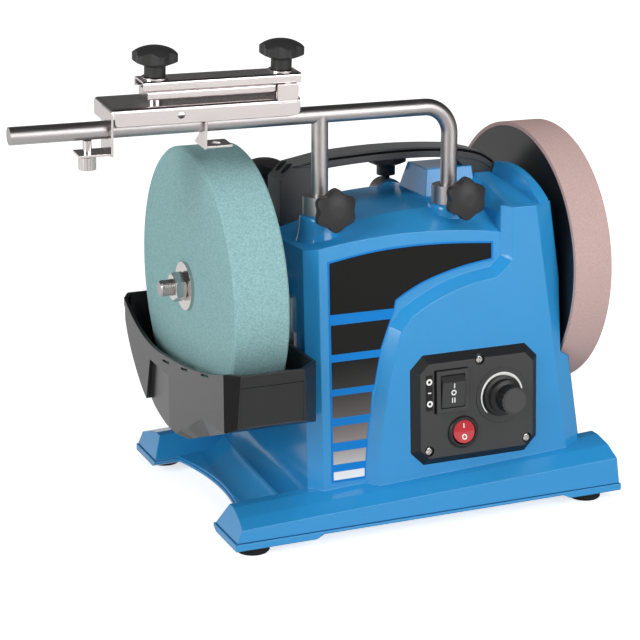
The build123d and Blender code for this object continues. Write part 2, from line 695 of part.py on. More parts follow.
def star_knob(stud):
    rim_low, rim_high, cove, dome_r, dome_fall = 1.0, 5.8, 2.5, 9.6, 1.3
    steps = 4 * KNOB_LOBES
    mean, wave = (KNOB_R + KNOB_VALLEY) / 2, (KNOB_R - KNOB_VALLEY) / 2
    rim = []
    for step in range(steps):
        angle = 2 * math.pi * step / steps + math.pi / 2
        r = mean + wave * math.cos(KNOB_LOBES * 2 * math.pi * step / steps)
        rim.append((r * math.cos(angle), r * math.sin(angle)))
    top = HUB_L + KNOB_CAP
    dome = make_face([
        Line((0, HUB_L - cove), (HUB_R, HUB_L - cove)),
        Line((HUB_R, HUB_L - cove), (KNOB_R, HUB_L + rim_low)),
        Line((KNOB_R, HUB_L + rim_low), (KNOB_R, HUB_L + rim_high)),
        ThreePointArc((KNOB_R, HUB_L + rim_high), (dome_r, top - dome_fall), (0, top)),
        Line((0, top), (0, HUB_L - cove)),
    ])
    star = extrude(Plane.XY.offset(HUB_L - cove) * make_face(Spline(*rim, periodic=True)), KNOB_CAP + cove)
    cap = star & revolve(Plane.XZ * dome, Axis.Z, 360)
    return cap + rod_z(0, HUB_L, HUB_R, 0, 0) + rod_z(-stud, 0, STUD_R, 0, 0)


def front_clamp_knob(x):
    stud = COLLAR_R - BAR_R - STUD_GAP + KNOB_GAP
    seat = Plane(origin=(x, BAR_Y - COLLAR_R - KNOB_GAP, CLAMP_Z), x_dir=(1, 0, 0), z_dir=(0, -1, 0))
    return seat * star_knob(stud)


def rear_clamp_knob(x):
    stud = COLLAR_R - BAR_R - STUD_GAP + KNOB_GAP
    return Pos(x, REAR_CLAMP_Y, REAR_SLEEVE_Z + COLLAR_R + KNOB_GAP) * star_knob(stud)


# Controls

def control_panel():
    c = PANEL_CUT
    outline = [(PANEL_X1 + c, up(PANEL_Z1)), (PANEL_X2 - c, up(PANEL_Z1)), (PANEL_X2, up(PANEL_Z1) + c),
               (PANEL_X2, up(PANEL_Z2) - c), (PANEL_X2 - c, up(PANEL_Z2)), (PANEL_X1 + c, up(PANEL_Z2)),
               (PANEL_X1, up(PANEL_Z2) - c), (PANEL_X1, up(PANEL_Z1) + c)]
    edge_angle = math.degrees(math.atan(PANEL_EDGE / PANEL_T))
    panel = extrude(RAISED * polygon(outline), PANEL_T, taper=edge_angle)
    ring_out, ring_in, ring_t = 20.6, 15.4, 0.5
    ring = rod_z(0, ring_t, ring_out, 0, 0) - rod_z(0, ring_t, ring_in, 0, 0)
    panel += on_panel(SPEED_X, SPEED_Z, PANEL_T) * ring
    deep, room, sink_r = 4 * PANEL_T, 0.4, 3.8
    panel -= on_panel(ROCKER_X, ROCKER_Z) * Box(SWITCH_W + room, SWITCH_H + room, deep)
    panel -= on_panel(POWER_X, POWER_Z) * Cylinder(POWER_BODY_R + room / 2, deep)
    panel -= on_panel(SPEED_X, SPEED_Z) * Cylinder(BUSHING_R + FIT, deep)
    for x, z in PANEL_SCREWS:
        panel -= on_panel(x, z) * Cylinder(PANEL_SCREW_R + FIT, deep)
        panel -= on_panel(x, z, PANEL_T - PANEL_SINK) * rod_z(0, PANEL_T, sink_r, 0, 0)
    return panel


def panel_screws():
    head_r, head_t, reach = 2.9, 1.7, 9.0
    screw = rod_z(0, head_t, head_r, 0, 0) + rod_z(-reach, 0, PANEL_SCREW_R, 0, 0)
    return Compound(children=[on_panel(x, z, PANEL_T - PANEL_SINK) * screw for x, z in PANEL_SCREWS])


def direction_switch():
    frame_w, frame_h, frame_t = 25.8, 31.2, 1.4
    body_d, well_d = 22.0, 8.2
    switch = Pos(0, 0, frame_t / 2) * Box(frame_w, frame_h, frame_t)
    switch += Pos(0, 0, -body_d / 2) * Box(SWITCH_W, SWITCH_H, body_d)
    switch -= Pos(0, 0, -well_d / 2 + frame_t / 2) * Box(WELL_W, WELL_H, well_d + frame_t)
    switch -= rod_x(-SWITCH_W, SWITCH_W, TRUNNION_R + STUD_FIT, 0, ROCKER_PIVOT)
    return on_panel(ROCKER_X, ROCKER_Z, PANEL_T) * switch


def direction_rocker():
    end_gap, side_gap = 0.7, 0.4
    low, belly, foot, ridge, brow, brow_h = -3.7, -5.7, 1.7, 3.4, 0.6, 4.5
    half = WELL_H / 2 - end_gap
    width = WELL_W - 2 * side_gap
    side = [(-half, low), (0, belly), (half, low), (half, brow), (half - brow_h, ridge), (-half, foot)]
    pin_end = SWITCH_W / 2 - STUD_FIT
    rocker = along_x(side, -width / 2, width / 2) + rod_x(-pin_end, pin_end, TRUNNION_R, 0, ROCKER_PIVOT)
    return on_panel(ROCKER_X, ROCKER_Z, PANEL_T) * rocker


def power_switch():
    bezel_r, bezel_t, bezel_edge, depth = 11.8, 2.2, 0.9, 18.0
    well_low = -7.2
    bezel = chamfer(rod_z(0, bezel_t, bezel_r, 0, 0).edges().group_by(Axis.Z)[-1], bezel_edge)
    switch = bezel + rod_z(-depth, 0, POWER_BODY_R, 0, 0)
    switch -= rod_z(well_low, bezel_t, POWER_WELL_R, 0, 0)
    switch -= rod_x(-POWER_BODY_R, POWER_BODY_R, TRUNNION_R + STUD_FIT, 0, POWER_PIVOT)
    return on_panel(POWER_X, POWER_Z, PANEL_T) * switch


def power_rocker():
    gap, low, belly, waist, high = 0.75, -1.2, -2.4, 4.2, 5.0
    r = POWER_WELL_R - gap
    side = [(-r, low), (0, belly), (r, low), (r, high), (0, waist), (-r, high)]
    rocker = along_x(side, -r, r) & rod_z(-2 * r, 2 * r, r, 0, 0)
    pin_end = (POWER_WELL_R + POWER_BODY_R) / 2
    rocker += rod_x(-pin_end, pin_end, TRUNNION_R, 0, 0)
    return on_panel(POWER_X, POWER_Z, PANEL_T + POWER_PIVOT) * Rot(-POWER_TILT, 0, 0) * rocker


def speed_potentiometer():
    body_r, back, far, floor, proud = 8.2, -7.0, -17.0, -15.0, 0.2
    pot = rod_z(far, back, body_r, 0, 0) + rod_z(back, PANEL_T + proud, BUSHING_R, 0, 0)
    return on_panel(SPEED_X, SPEED_Z) * (pot - rod_z(floor, PANEL_T + 1, STUD_R + FIT, 0, 0))


def speed_knob():
    gap, skirt_r, skirt_t, collar_r, collar_h, neck_h = 0.6, 14.8, 2.4, 12.6, 7.5, 8.6
    grip_r, edge, tall = 9.8, 0.6, 19.5
    flutes, flute_r, shank = 18, 0.7, 13.0
    profile = [(0, 0), (skirt_r, 0), (skirt_r, skirt_t), (collar_r, skirt_t + edge), (collar_r, collar_h),
               (grip_r, neck_h), (0, neck_h)]
    grip = Circle(grip_r)
    for spot in PolarLocations(grip_r + flute_r / 3, flutes):
        grip -= spot * Circle(flute_r)
    knob = revolve(Plane.XZ * polygon(profile), Axis.Z, 360)
    knob += extrude(Plane.XY.offset(neck_h) * grip, tall - neck_h - edge)
    knob += rod_z(neck_h, tall, grip_r - 2 * edge, 0, 0)
    knob += rod_z(-shank, 0, STUD_R, 0, 0)
    return on_panel(SPEED_X, SPEED_Z, PANEL_T + gap) * knob


# Drive inside the housing

def speed_board():
    margin, board_t = 5.0, 1.6
    x1, x2 = BOARD_POST_X[0] - margin, BOARD_POST_X[1] + margin
    y1, y2 = BOARD_POST_Y[0] - margin, BOARD_POST_Y[1] + margin
    top = BOARD_Z + board_t
    capacitors = [(-52.0, -42.0, 6.0, 22.0), (-38.0, -46.0, 5.0, 16.0)]
    fin_x, fin_t, fin_pitch, fins, fin_h = -28.0, 2.0, 4.0, 5, 20.0
    fin_y1, fin_y2, spine_y = -40.0, -18.0, -30.0
    board = box(x1, x2, y1, y2, BOARD_Z, top)
    for x, y, r, h in capacitors:
        board += rod_z(top, top + h, r, x, y)
    board += box(fin_x, fin_x + fin_pitch * fins, spine_y, spine_y + fin_t, top, top + fin_h)
    for fin in range(fins):
        start = fin_x + fin_pitch * fin
        board += box(start, start + fin_t, fin_y1, fin_y2, top, top + fin_h)
    return board


def motor_bracket():
    plate_t, half, top, foot = 3.0, 36.0, 150.0, 28.0
    bracket = box(0, plate_t, -half, half, PAN_Z, top) + box(0, foot, -half, half, PAN_Z, PAN_Z + plate_t)
    return bracket - rod_x(-1, plate_t + 1, GEARBOX_NOSE_R, 0, PINION_Z)


def motor_gearbox():
    face_x, nose_x, bore_x = 3.0, 0.5, 24.0
    gearbox = rod_x(face_x, MOTOR_X, GEARBOX_R, 0, PINION_Z)
    gearbox += rod_x(nose_x, face_x, GEARBOX_NOSE_R - FIT, 0, PINION_Z)
    return gearbox - rod_x(0, bore_x, MOTOR_SHAFT_R + FIT, 0, PINION_Z)


def motor_can():
    can_r, length, cap = 25.0, 55.0, 5.0
    can = rod_x(MOTOR_X, MOTOR_X + length, can_r, 0, PINION_Z)
    return can + rod_x(MOTOR_X + length, MOTOR_X + length + cap, can_r / 3, 0, PINION_Z)


def gear_outline(teeth):
    pitch_r = GEAR_MODULE * teeth / 2
    base_r = pitch_r * math.cos(PRESSURE)
    dedendum, fillet_r = 1.25, 0.2
    root_r = pitch_r - dedendum * GEAR_MODULE
    low_r = max(base_r, root_r + fillet_r)
    tip_r = pitch_r + GEAR_MODULE

    def half_angle(r):
        roll = math.acos(min(1.0, base_r / r))
        involute = math.tan(roll) - roll
        start = math.tan(PRESSURE) - PRESSURE
        return math.pi / (2 * teeth) - BACKLASH / (2 * pitch_r) + start - involute

    flank = [(root_r, half_angle(low_r))] + [(r, half_angle(r)) for r in (low_r, pitch_r, tip_r)]
    points = []
    for tooth in range(teeth):
        middle = 2 * math.pi * tooth / teeth
        left = [(r, middle - a) for r, a in flank]
        right = [(r, middle + a) for r, a in reversed(flank)]
        points += [(r * math.cos(a), r * math.sin(a)) for r, a in left + right]
    return polygon(points)


def drive_gear():
    hub_r, hub_out, web_holes, web_r, hole_r = 15.0, 4.0, 6, 27.0, 8.0
    half_tooth = 180.0 / GEAR_TEETH
    face = Rot(0, 0, -90 + half_tooth) * gear_outline(GEAR_TEETH)
    for spot in PolarLocations(web_r, web_holes):
        face -= spot * Circle(hole_r)
    gear = extrude(Plane.YZ.offset(GEAR_X) * Pos(0, SHAFT_Z) * face, GEAR_W)
    gear += rod_x(GEAR_X - hub_out, GEAR_X + GEAR_W, hub_r)
    return gear - rod_x(GEAR_X - hub_out - 1, GEAR_X + GEAR_W + 1, SHAFT_R + FIT)


def motor_pinion():
    overhang, tip_x, shaft_x = 1.0, -23.0, 22.0
    face = Rot(0, 0, 90) * gear_outline(PINION_TEETH)
    pinion = extrude(Plane.YZ.offset(GEAR_X - overhang) * Pos(0, PINION_Z) * face, GEAR_W + 2 * overhang)
    return pinion + rod_x(tip_x, shaft_x, MOTOR_SHAFT_R, 0, PINION_Z)


def main_shaft():
    left_seat = STONE_X + FLANGE_T
    right_seat = HONE_X - FLANGE_T
    shoulder = LEFT_BEARING_X + BEARING_W
    edge = 1.2
    steps = [(SHAFT_LEFT, 0), (SHAFT_LEFT, THREAD_R - edge), (SHAFT_LEFT + edge, THREAD_R),
             (left_seat, THREAD_R), (left_seat, SEAT_R), (shoulder, SEAT_R), (shoulder, SHAFT_R),
             (RIGHT_BEARING_X, SHAFT_R), (RIGHT_BEARING_X, SEAT_R), (right_seat, SEAT_R),
             (right_seat, THREAD_R), (SHAFT_RIGHT - edge, THREAD_R), (SHAFT_RIGHT, THREAD_R - edge),
             (SHAFT_RIGHT, 0)]
    return turned(steps)


def bearing_outer(x):
    race_r, shield_r, shield_t = 14.6, 11.2, 1.0
    x2 = x + BEARING_W
    return turned([(x, shield_r), (x, BEARING_R), (x2, BEARING_R), (x2, shield_r), (x2 - shield_t, shield_r),
                   (x2 - shield_t, race_r), (x + shield_t, race_r), (x + shield_t, shield_r)])


def bearing_inner_rings():
    ring_r = 10.6
    rings = [ring_x(x, x + BEARING_W, SEAT_R + FIT, ring_r) for x in (LEFT_BEARING_X, RIGHT_BEARING_X)]
    return Compound(children=rings)


# Stone and honing wheel

def grinding_stone():
    edge = 1.5
    x1 = STONE_X - STONE_W
    bore = THREAD_R + FIT
    return turned([(x1, bore), (x1, WHEEL_R - edge), (x1 + edge, WHEEL_R), (STONE_X - edge, WHEEL_R),
                   (STONE_X, WHEEL_R - edge), (STONE_X, bore)])


def honing_wheel():
    x2 = HONE_X + HONE_W
    bore = THREAD_R + FIT
    hub_r, rim_r, web, slope = 24.0, 84.0, 7.0, 3.0
    outer = WHEEL_R - LEATHER_T
    hub_in, rim_in = hub_r + slope, rim_r - slope
    return turned([(HONE_X, bore), (HONE_X, outer), (x2, outer), (x2, rim_r), (x2 - web, rim_in),
                   (x2 - web, hub_in), (x2, hub_r), (x2, bore)])


def hex_nut(x1, x2):
    corner = NUT_AF / math.sqrt(3)
    edge, over = 1.4, 0.1
    nut = extrude(Plane.YZ.offset(x1) * Pos(0, SHAFT_Z) * RegularPolygon(corner, 6), x2 - x1)
    envelope = turned([(x1, 0), (x1, corner - edge), (x1 + edge, corner + over), (x2 - edge, corner + over),
                       (x2, corner - edge), (x2, 0)])
    return (nut & envelope) - rod_x(x1 - 1, x2 + 1, THREAD_R + FIT)


# Water trough and its bracket

def inset_path(points, inset):
    sides = []
    for (y1, z1), (y2, z2) in zip(points, points[1:]):
        length = math.hypot(y2 - y1, z2 - z1)
        sides.append(((z1 - z2) / length, (y2 - y1) / length))
    moved = []
    for (y, z), (a1, b1), (a2, b2) in zip(points, sides[:1] + sides, sides + sides[-1:]):
        scale = inset / (1 + a1 * a2 + b1 * b2)
        moved.append((y + (a1 + a2) * scale, z + (b1 + b2) * scale))
    return moved


def trough_face(inset):
    lift = 4.0
    path = inset_path(TROUGH_FRONT + TROUGH_REAR[1:], inset)
    front = path[:len(TROUGH_FRONT)]
    rear = path[len(TROUGH_FRONT) - 1:]
    rim = [rear[-1], front[0]]
    if inset:
        rim[1:1] = [(rear[-1][0], TROUGH_RIM + lift), (front[0][0], TROUGH_RIM + lift)]
    edges = [Line(a, b) for a, b in zip(front, front[1:])]
    edges.append(Spline(*rear))
    return make_face(edges + [Line(a, b) for a, b in zip(rim, rim[1:])])


def trough_form(inset):
    x1 = TROUGH_LEFT + inset
    x2 = TROUGH_RIGHT - inset
    front = TROUGH_FRONT[0][0] + inset
    back = TROUGH_REAR[-1][0] - inset
    trim = inset / 3
    left_cut, right_cut, back_cut = [cut - trim for cut in TROUGH_CUTS]
    form = extrude(Plane.YZ.offset(x1) * trough_face(inset), x2 - x1)
    corners = [
        [(x1, front), (x1 + left_cut, front), (x1, front + left_cut)],
        [(x2, front), (x2 - right_cut, front), (x2, front + right_cut)],
        [(x1, back), (x1 + back_cut, back), (x1, back - back_cut)],
        [(x2, back), (x2 - back_cut, back), (x2, back - back_cut)],
    ]
    for corner in corners:
        form -= extrude(Plane.XY * polygon(corner), 2 * TROUGH_RIM)
    return form


def trough_relief(inset):
    wall_x = TROUGH_LEFT + inset
    low = 59.0
    depth, tip_y = 15.0, -60.0
    wall = [(-124.0, 98.0), (-66.4, 94.0), (-48.2, 84.6), (-31.4, 74.9), (-11.8, 66.8)]
    outline = wall + [(0.0, low), (wall[0][0], low)]
    base = Pos(0, inset / 2) * polygon(outline)
    tip = Vertex(wall_x + depth, tip_y, low + inset / 2)
    return loft([Plane.YZ.offset(wall_x - 1) * base, tip], ruled=True)


def trough_recess(inset):
    deep, step_y, step_low_y, end_y, step_z, low_z = 5.0, 50.7, 65.5, -4.0, 100.0, 55.0
    x = TROUGH_LEFT
    low_y, high_z = step_low_y + inset, step_z + inset
    side = [(end_y, low_z), (low_y, low_z), (step_y + inset, high_z), (end_y, high_z)]
    plan = [(x - 1, end_y), (x + inset, end_y), (x + deep + inset, low_y), (x - 1, low_y)]
    return along_x(side, x - 1, x + 2 * deep) & extrude(Plane.XY * polygon(plan), TROUGH_RIM)


def trough_band():
    sunk, low_z, front_z = 0.8, 50.0, 127.0
    band = [(-112.0, 132.0), (-66.0, 123.7), (-24.0, 116.0), (25.8, 109.2), (49.0, 108.3), (84.6, 113.0),
            (107.0, 124.5), (118.0, 133.0)]
    below = make_face([Spline(*band), Line(band[-1], (band[-1][0], low_z)),
                       Line((band[-1][0], low_z), (band[0][0], low_z)), Line((band[0][0], low_z), band[0])])
    left = extrude(Plane.YZ.offset(TROUGH_LEFT - 1) * below, 1 + sunk)
    (top_y, top_z), (foot_y, foot_z) = TROUGH_FRONT[:2]
    line_y = top_y + (foot_y - top_y) * (top_z - front_z) / (top_z - foot_z)
    strip = [(line_y - 1, front_z), (line_y + sunk, front_z), (foot_y + sunk, foot_z), (foot_y - 1, foot_z)]
    left_cut, right_cut = TROUGH_CUTS[:2]
    return left + along_x(strip, TROUGH_LEFT + left_cut, TROUGH_RIGHT - right_cut)


def water_trough():
    body = trough_form(0) - trough_relief(0) - trough_recess(0) - trough_band()
    body -= trough_form(TROUGH_WALL) - trough_relief(TROUGH_WALL) - trough_recess(TROUGH_WALL)
    top = TROUGH_RIM + 1
    start, end = (-113.0, TROUGH_RIM), (114.5, TROUGH_RIM)
    sag = [(-50.7, 121.0), (3.0, 114.7), (48.6, 113.2), (83.9, 120.8)]
    dip = make_face([
        Spline(start, *sag, end),
        Line(end, (end[0], top)),
        Line((end[0], top), (start[0], top)),
        Line((start[0], top), start),
    ])
    body -= extrude(Plane.YZ.offset(TROUGH_LEFT - 1) * dip, 1 + 2 * TROUGH_WALL)
    slit_h = 1.6
    for y1, z1, y2, z2 in TROUGH_SLITS:
        slit = [(y1, z1), (y2, z2), (y2, z2 - slit_h), (y1, z1 - slit_h)]
        body -= along_x(slit, TROUGH_LEFT - 1, TROUGH_LEFT + TROUGH_WALL + 1)
    for y in (-TROUGH_STUD_Y, TROUGH_STUD_Y):
        body -= rod_x(TROUGH_RIGHT - TROUGH_WALL - 1, TROUGH_RIGHT + 1, STUD_R + FIT, y, TROUGH_STUD_Z)
    return body


def trough_studs():
    neck_r, head_r, rivet_r, rivet_t = 4.0, 6.5, 6.0, 1.5
    inside = TROUGH_RIGHT - TROUGH_WALL
    neck_end = LEFT_X + 0.3
    head_end = LEFT_X + 2.9
    pieces = []
    for y in (-TROUGH_STUD_Y, TROUGH_STUD_Y):
        stud = rod_x(inside - rivet_t, inside, rivet_r, y, TROUGH_STUD_Z)
        stud += rod_x(inside, TROUGH_RIGHT, STUD_R, y, TROUGH_STUD_Z)
        stud += rod_x(TROUGH_RIGHT, neck_end, neck_r, y, TROUGH_STUD_Z)
        pieces.append(stud + rod_x(neck_end, head_end, head_r, y, TROUGH_STUD_Z))
    return Compound(children=pieces)


def trough_bracket():
    x1 = LEFT_X - BRACKET_T
    wide, narrow, low, mid, high = 60.0, 54.0, 78.5, 142.0, 166.5
    slot_half, room = 4.3, 0.5
    plan = rectangle(-wide, wide, low, mid) + rectangle(-narrow, narrow, mid, high)
    plan -= Pos(0, SHAFT_Z) * Circle(BOSS_R + room)
    for y in (-TROUGH_STUD_Y, TROUGH_STUD_Y):
        slot_low = TROUGH_STUD_Z - TROUGH_DROP - slot_half - room
        slot_high = TROUGH_STUD_Z + slot_half + room
        plan -= rectangle(y - slot_half, y + slot_half, slot_low, slot_high)
    for y, z in BRACKET_SCREWS:
        plan -= Pos(y, z) * Circle(BRACKET_SCREW_R + FIT)
    return extrude(Plane.YZ.offset(x1) * plan, BRACKET_T)


def trough_bracket_screws():
    head_r, head_t, reach = 4.2, 2.2, 6.5
    x1 = LEFT_X - BRACKET_T
    pieces = []
    for y, z in BRACKET_SCREWS:
        pieces.append(rod_x(x1 - head_t, x1, head_r, y, z) + rod_x(x1, x1 + reach, BRACKET_SCREW_R, y, z))
    return Compound(children=pieces)


# Jig on the support bar

def tilted(shape):
    return shape.rotate(Axis((0, BAR_Y, BAR_Z), (1, 0, 0)), JIG_TILT)


def bar_lug(x1, tab_x1, tab_x2, tab_hole_x):
    lug_y1, lug_y2, tab_y1, tab_y2 = -60.0, -38.0, -58.0, -42.0
    hole = BAR_R + LUG_ROOM
    lug = box(x1, x1 + SHEET_T, lug_y1, lug_y2, TAB_Z, CHANNEL_Z2 - SHEET_T)
    lug -= rod_x(x1 - 1, x1 + SHEET_T + 1, hole, BAR_Y, BAR_Z)
    tab = box(tab_x1, tab_x2, tab_y1, tab_y2, TAB_Z, TAB_Z + SHEET_T)
    return lug + tab - rod_z(TAB_Z - 1, TAB_Z + SHEET_T + 1, LOCK_R + STUD_FIT, tab_hole_x, BAR_Y)


def jig_base():
    bend, pin_r, pin_x, pin_z = 3.0, 2.5, -167.0, 302.5
    notch_y1, notch_y2 = -57.5, -42.5
    left_tab, lug_x, right_tab, right_hole = -236.0, -149.5, -129.0, -138.0
    channel = box(JIG_X1, JIG_X2, CHANNEL_Y1, CHANNEL_Y2, CHANNEL_Z1, CHANNEL_Z2)
    channel = fillet(channel.edges().filter_by(Axis.X).group_by(Axis.Z)[-1], bend)
    channel -= box(JIG_X1 + SHEET_T, JIG_X2 + 1, CHANNEL_Y1 + SHEET_T, CHANNEL_Y2 - SHEET_T, CHANNEL_Z1 - 1,
                   CHANNEL_Z2 - SHEET_T)
    channel -= rod_y(CHANNEL_Y1 - 1, CHANNEL_Y1 + SHEET_T + 1, pin_r, pin_x, pin_z)
    channel -= box(JIG_X1 - 1, JIG_X1 + SHEET_T + 1, notch_y1, notch_y2, CHANNEL_Z1 - 1, BAR_Z + BAR_R + 1)
    channel += bar_lug(JIG_X1, left_tab, JIG_X1 + SHEET_T, LOCK_X)
    channel += bar_lug(lug_x, lug_x, right_tab, right_hole)
    for x in (JIG_KNOB_X1, JIG_KNOB_X2):
        channel -= rod_z(CHANNEL_Z2 - 2 * SHEET_T, CHANNEL_Z2 + 1, STUD_R + STUD_FIT, x, JIG_KNOB_Y)
    return tilted(channel)


def jig_lower_jaw():
    x1, x2, low, roll = -189.0, -98.5, 313.0, 2.0
    nut_r, nut_low = 5.0, CHANNEL_Z2
    tongue_x, tongue_in, tongue_drop = JIG_KNOB_X2 + 6, 3.0, 2.0
    jaw = box(x1, x2, JAW_Y1, JAW_Y2, low, JAW_Z)
    jaw = fillet(jaw.edges().filter_by(Axis.X), roll)
    jaw += box(x2 - 1, tongue_x, JAW_Y1 + tongue_in, JAW_Y2 - tongue_in, low, JAW_Z - tongue_drop)
    for x in (JIG_KNOB_X1, JIG_KNOB_X2):
        jaw += rod_z(nut_low, low, nut_r, x, JIG_KNOB_Y)
        jaw -= rod_z(nut_low, JAW_Z + 1, STUD_R + STUD_FIT, x, JIG_KNOB_Y)
    return tilted(jaw)


def jig_upper_jaw():
    x1, x2, roll = -192.0, -80.0, 2.0
    jaw = box(x1, x2, JAW_Y1, JAW_Y2, JAW_Z + JAW_GAP, JAW_TOP)
    jaw = fillet(jaw.edges().filter_by(Axis.X).group_by(Axis.Z)[-1], roll)
    jaw -= box(x1 - 1, x2 + 1, JAW_Y1 + SHEET_T, JAW_Y2 - SHEET_T, JAW_Z, JAW_TOP - SHEET_T)
    for x in (JIG_KNOB_X1, JIG_KNOB_X2):
        jaw -= rod_z(JAW_Z, JAW_TOP + 1, STUD_R + STUD_FIT, x, JIG_KNOB_Y)
    return tilted(jaw)


def jig_washers():
    washer_r, washer_t = 9.0, 1.2
    pieces = []
    for x in (JIG_KNOB_X1, JIG_KNOB_X2):
        washer = rod_z(JAW_TOP, JAW_TOP + washer_t, washer_r, x, JIG_KNOB_Y)
        pieces.append(tilted(washer - rod_z(JAW_TOP, JAW_TOP + washer_t, STUD_R + STUD_FIT, x, JIG_KNOB_Y)))
    return Compound(children=pieces)


def jig_knob(x):
    washer_room = 1.5
    seat_z = JAW_TOP + washer_room
    return tilted(Pos(x, JIG_KNOB_Y, seat_z) * star_knob(seat_z - CHANNEL_Z2 + 1))


def jig_stop():
    x1, x2, y1, foot_y, lip_y = -98.0, -83.0, -60.0, -52.6, -51.0
    low, top = 317.7, 319.2
    stop = box(x1, x2, y1, y1 + SHEET_T, CHANNEL_Z2, top)
    stop += box(x1, x2, y1, foot_y, CHANNEL_Z2, CHANNEL_Z2 + SHEET_T)
    stop += box(x1, x2, y1, lip_y, low, top)
    return tilted(stop)


def jig_lock_screw():
    head_r, head_low, head_high = 6.0, 268.0, 276.8
    knurls, knurl_r, knurl_out = 18, 0.6, 0.2
    screw = rod_z(head_low, head_high, head_r, LOCK_X, BAR_Y)
    groove = rod_z(head_low - 1, head_high + 1, knurl_r, 0, 0)
    for spot in PolarLocations(head_r + knurl_out, knurls):
        screw -= Pos(LOCK_X, BAR_Y) * spot * groove
    return tilted(screw + rod_z(head_high, BAR_Z - BAR_R - STUD_GAP, LOCK_R, LOCK_X, BAR_Y))


# Every node is written to a file of its own
os.makedirs("parts", exist_ok=True)
skin = housing_skin()
stone_out = STONE_X - STONE_W
hone_out = HONE_X + HONE_W
nodes = {
    "main_housing": main_housing(skin),
    "base_pan": base_pan(),
    "rear_cover": rear_cover(),
    "rear_cover_screws": rear_cover_screws(),
    "rubber_feet": rubber_feet(),
    "foot_screws": foot_screws(),
    "cable_gland": cable_gland(),
    "carry_handle": carry_handle(skin),
    "handle_screws": handle_screws(),
    "left_bar_sleeve": bar_sleeve(LEG_X1),
    "right_bar_sleeve": bar_sleeve(LEG_X2),
    "left_rear_sleeve": rear_sleeve(LEG_X1),
    "right_rear_sleeve": rear_sleeve(LEG_X2),
    "support_bar": support_bar(),
    "left_clamp_knob": front_clamp_knob(LEG_X1),
    "right_clamp_knob": front_clamp_knob(LEG_X2),
    "left_rear_knob": rear_clamp_knob(LEG_X1),
    "right_rear_knob": rear_clamp_knob(LEG_X2),
    "control_panel": control_panel(),
    "panel_screws": panel_screws(),
    "direction_switch": direction_switch(),
    "direction_rocker": direction_rocker(),
    "power_switch": power_switch(),
    "power_rocker": power_rocker(),
    "speed_potentiometer": speed_potentiometer(),
    "speed_knob": speed_knob(),
    "speed_board": speed_board(),
    "motor_bracket": motor_bracket(),
    "motor_gearbox": motor_gearbox(),
    "motor_can": motor_can(),
    "motor_pinion": motor_pinion(),
    "drive_gear": drive_gear(),
    "main_shaft": main_shaft(),
    "left_bearing": bearing_outer(LEFT_BEARING_X),
    "right_bearing": bearing_outer(RIGHT_BEARING_X),
    "bearing_inner_rings": bearing_inner_rings(),
    "grinding_stone": grinding_stone(),
    "stone_flange": ring_x(STONE_X, STONE_X + FLANGE_T, THREAD_R + FIT, FLANGE_R),
    "stone_washer": ring_x(stone_out - WASHER_T, stone_out, THREAD_R + FIT, FLANGE_R),
    "stone_nut": hex_nut(stone_out - WASHER_T - NUT_T, stone_out - WASHER_T),
    "honing_wheel": honing_wheel(),
    "leather_band": ring_x(HONE_X, hone_out, WHEEL_R - LEATHER_T, WHEEL_R),
    "honing_flange": ring_x(HONE_X - FLANGE_T, HONE_X, THREAD_R + FIT, FLANGE_R),
    "honing_washer": ring_x(hone_out, hone_out + WASHER_T, THREAD_R + FIT, FLANGE_R),
    "honing_nut": hex_nut(hone_out + WASHER_T, hone_out + WASHER_T + NUT_T),
    "water_trough": water_trough(),
    "trough_studs": trough_studs(),
    "trough_bracket": trough_bracket(),
    "trough_bracket_screws": trough_bracket_screws(),
    "jig_base": jig_base(),
    "jig_stop": jig_stop(),
    "jig_lower_jaw": jig_lower_jaw(),
    "jig_upper_jaw": jig_upper_jaw(),
    "jig_washers": jig_washers(),
    "left_jig_knob": jig_knob(JIG_KNOB_X1),
    "right_jig_knob": jig_knob(JIG_KNOB_X2),
    "jig_lock_screw": jig_lock_screw(),
}
for name, shape in nodes.items():
    shape.label = name
    export_step(shape, "parts/" + name + ".step")
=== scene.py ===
import bmesh
import bpy
import math
from mathutils import Matrix, Vector


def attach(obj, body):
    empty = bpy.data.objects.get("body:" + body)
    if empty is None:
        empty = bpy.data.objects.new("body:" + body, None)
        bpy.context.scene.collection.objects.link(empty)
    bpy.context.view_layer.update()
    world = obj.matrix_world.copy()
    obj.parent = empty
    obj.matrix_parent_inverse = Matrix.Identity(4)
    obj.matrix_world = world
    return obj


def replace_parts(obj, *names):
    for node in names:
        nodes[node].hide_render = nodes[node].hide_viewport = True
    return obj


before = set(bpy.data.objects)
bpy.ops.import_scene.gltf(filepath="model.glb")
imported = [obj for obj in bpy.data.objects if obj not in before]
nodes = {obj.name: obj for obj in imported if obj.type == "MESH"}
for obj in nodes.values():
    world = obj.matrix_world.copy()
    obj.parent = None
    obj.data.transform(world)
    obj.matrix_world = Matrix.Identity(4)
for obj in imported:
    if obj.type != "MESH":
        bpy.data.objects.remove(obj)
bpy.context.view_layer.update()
scene = bpy.context.scene
scene.view_settings.view_transform = "Standard"


# Studio floor: a wide sheet of matt white paper, laid flat under the machine and far out behind it.
# Paper has no gloss. The camera sees it turn to pure white with distance, metal sees it brighten towards the
# backdrop, and it keeps the machine's soft shadow.
def linear(hex_colour):
    channels = [int(hex_colour[i:i + 2], 16) / 255 for i in (1, 3, 5)]
    return [c / 12.92 if c <= 0.04045 else ((c + 0.055) / 1.055) ** 2.4 for c in channels] + [1.0]


def add(tree, kind, inputs=None, **settings):
    node = tree.nodes.new("ShaderNode" + kind)
    for name, value in settings.items():
        setattr(node, name, value)
    for name, value in (inputs or {}).items():
        if isinstance(value, bpy.types.NodeSocket):
            tree.links.new(value, node.inputs[name])
        else:
            node.inputs[name].default_value = value
    return node


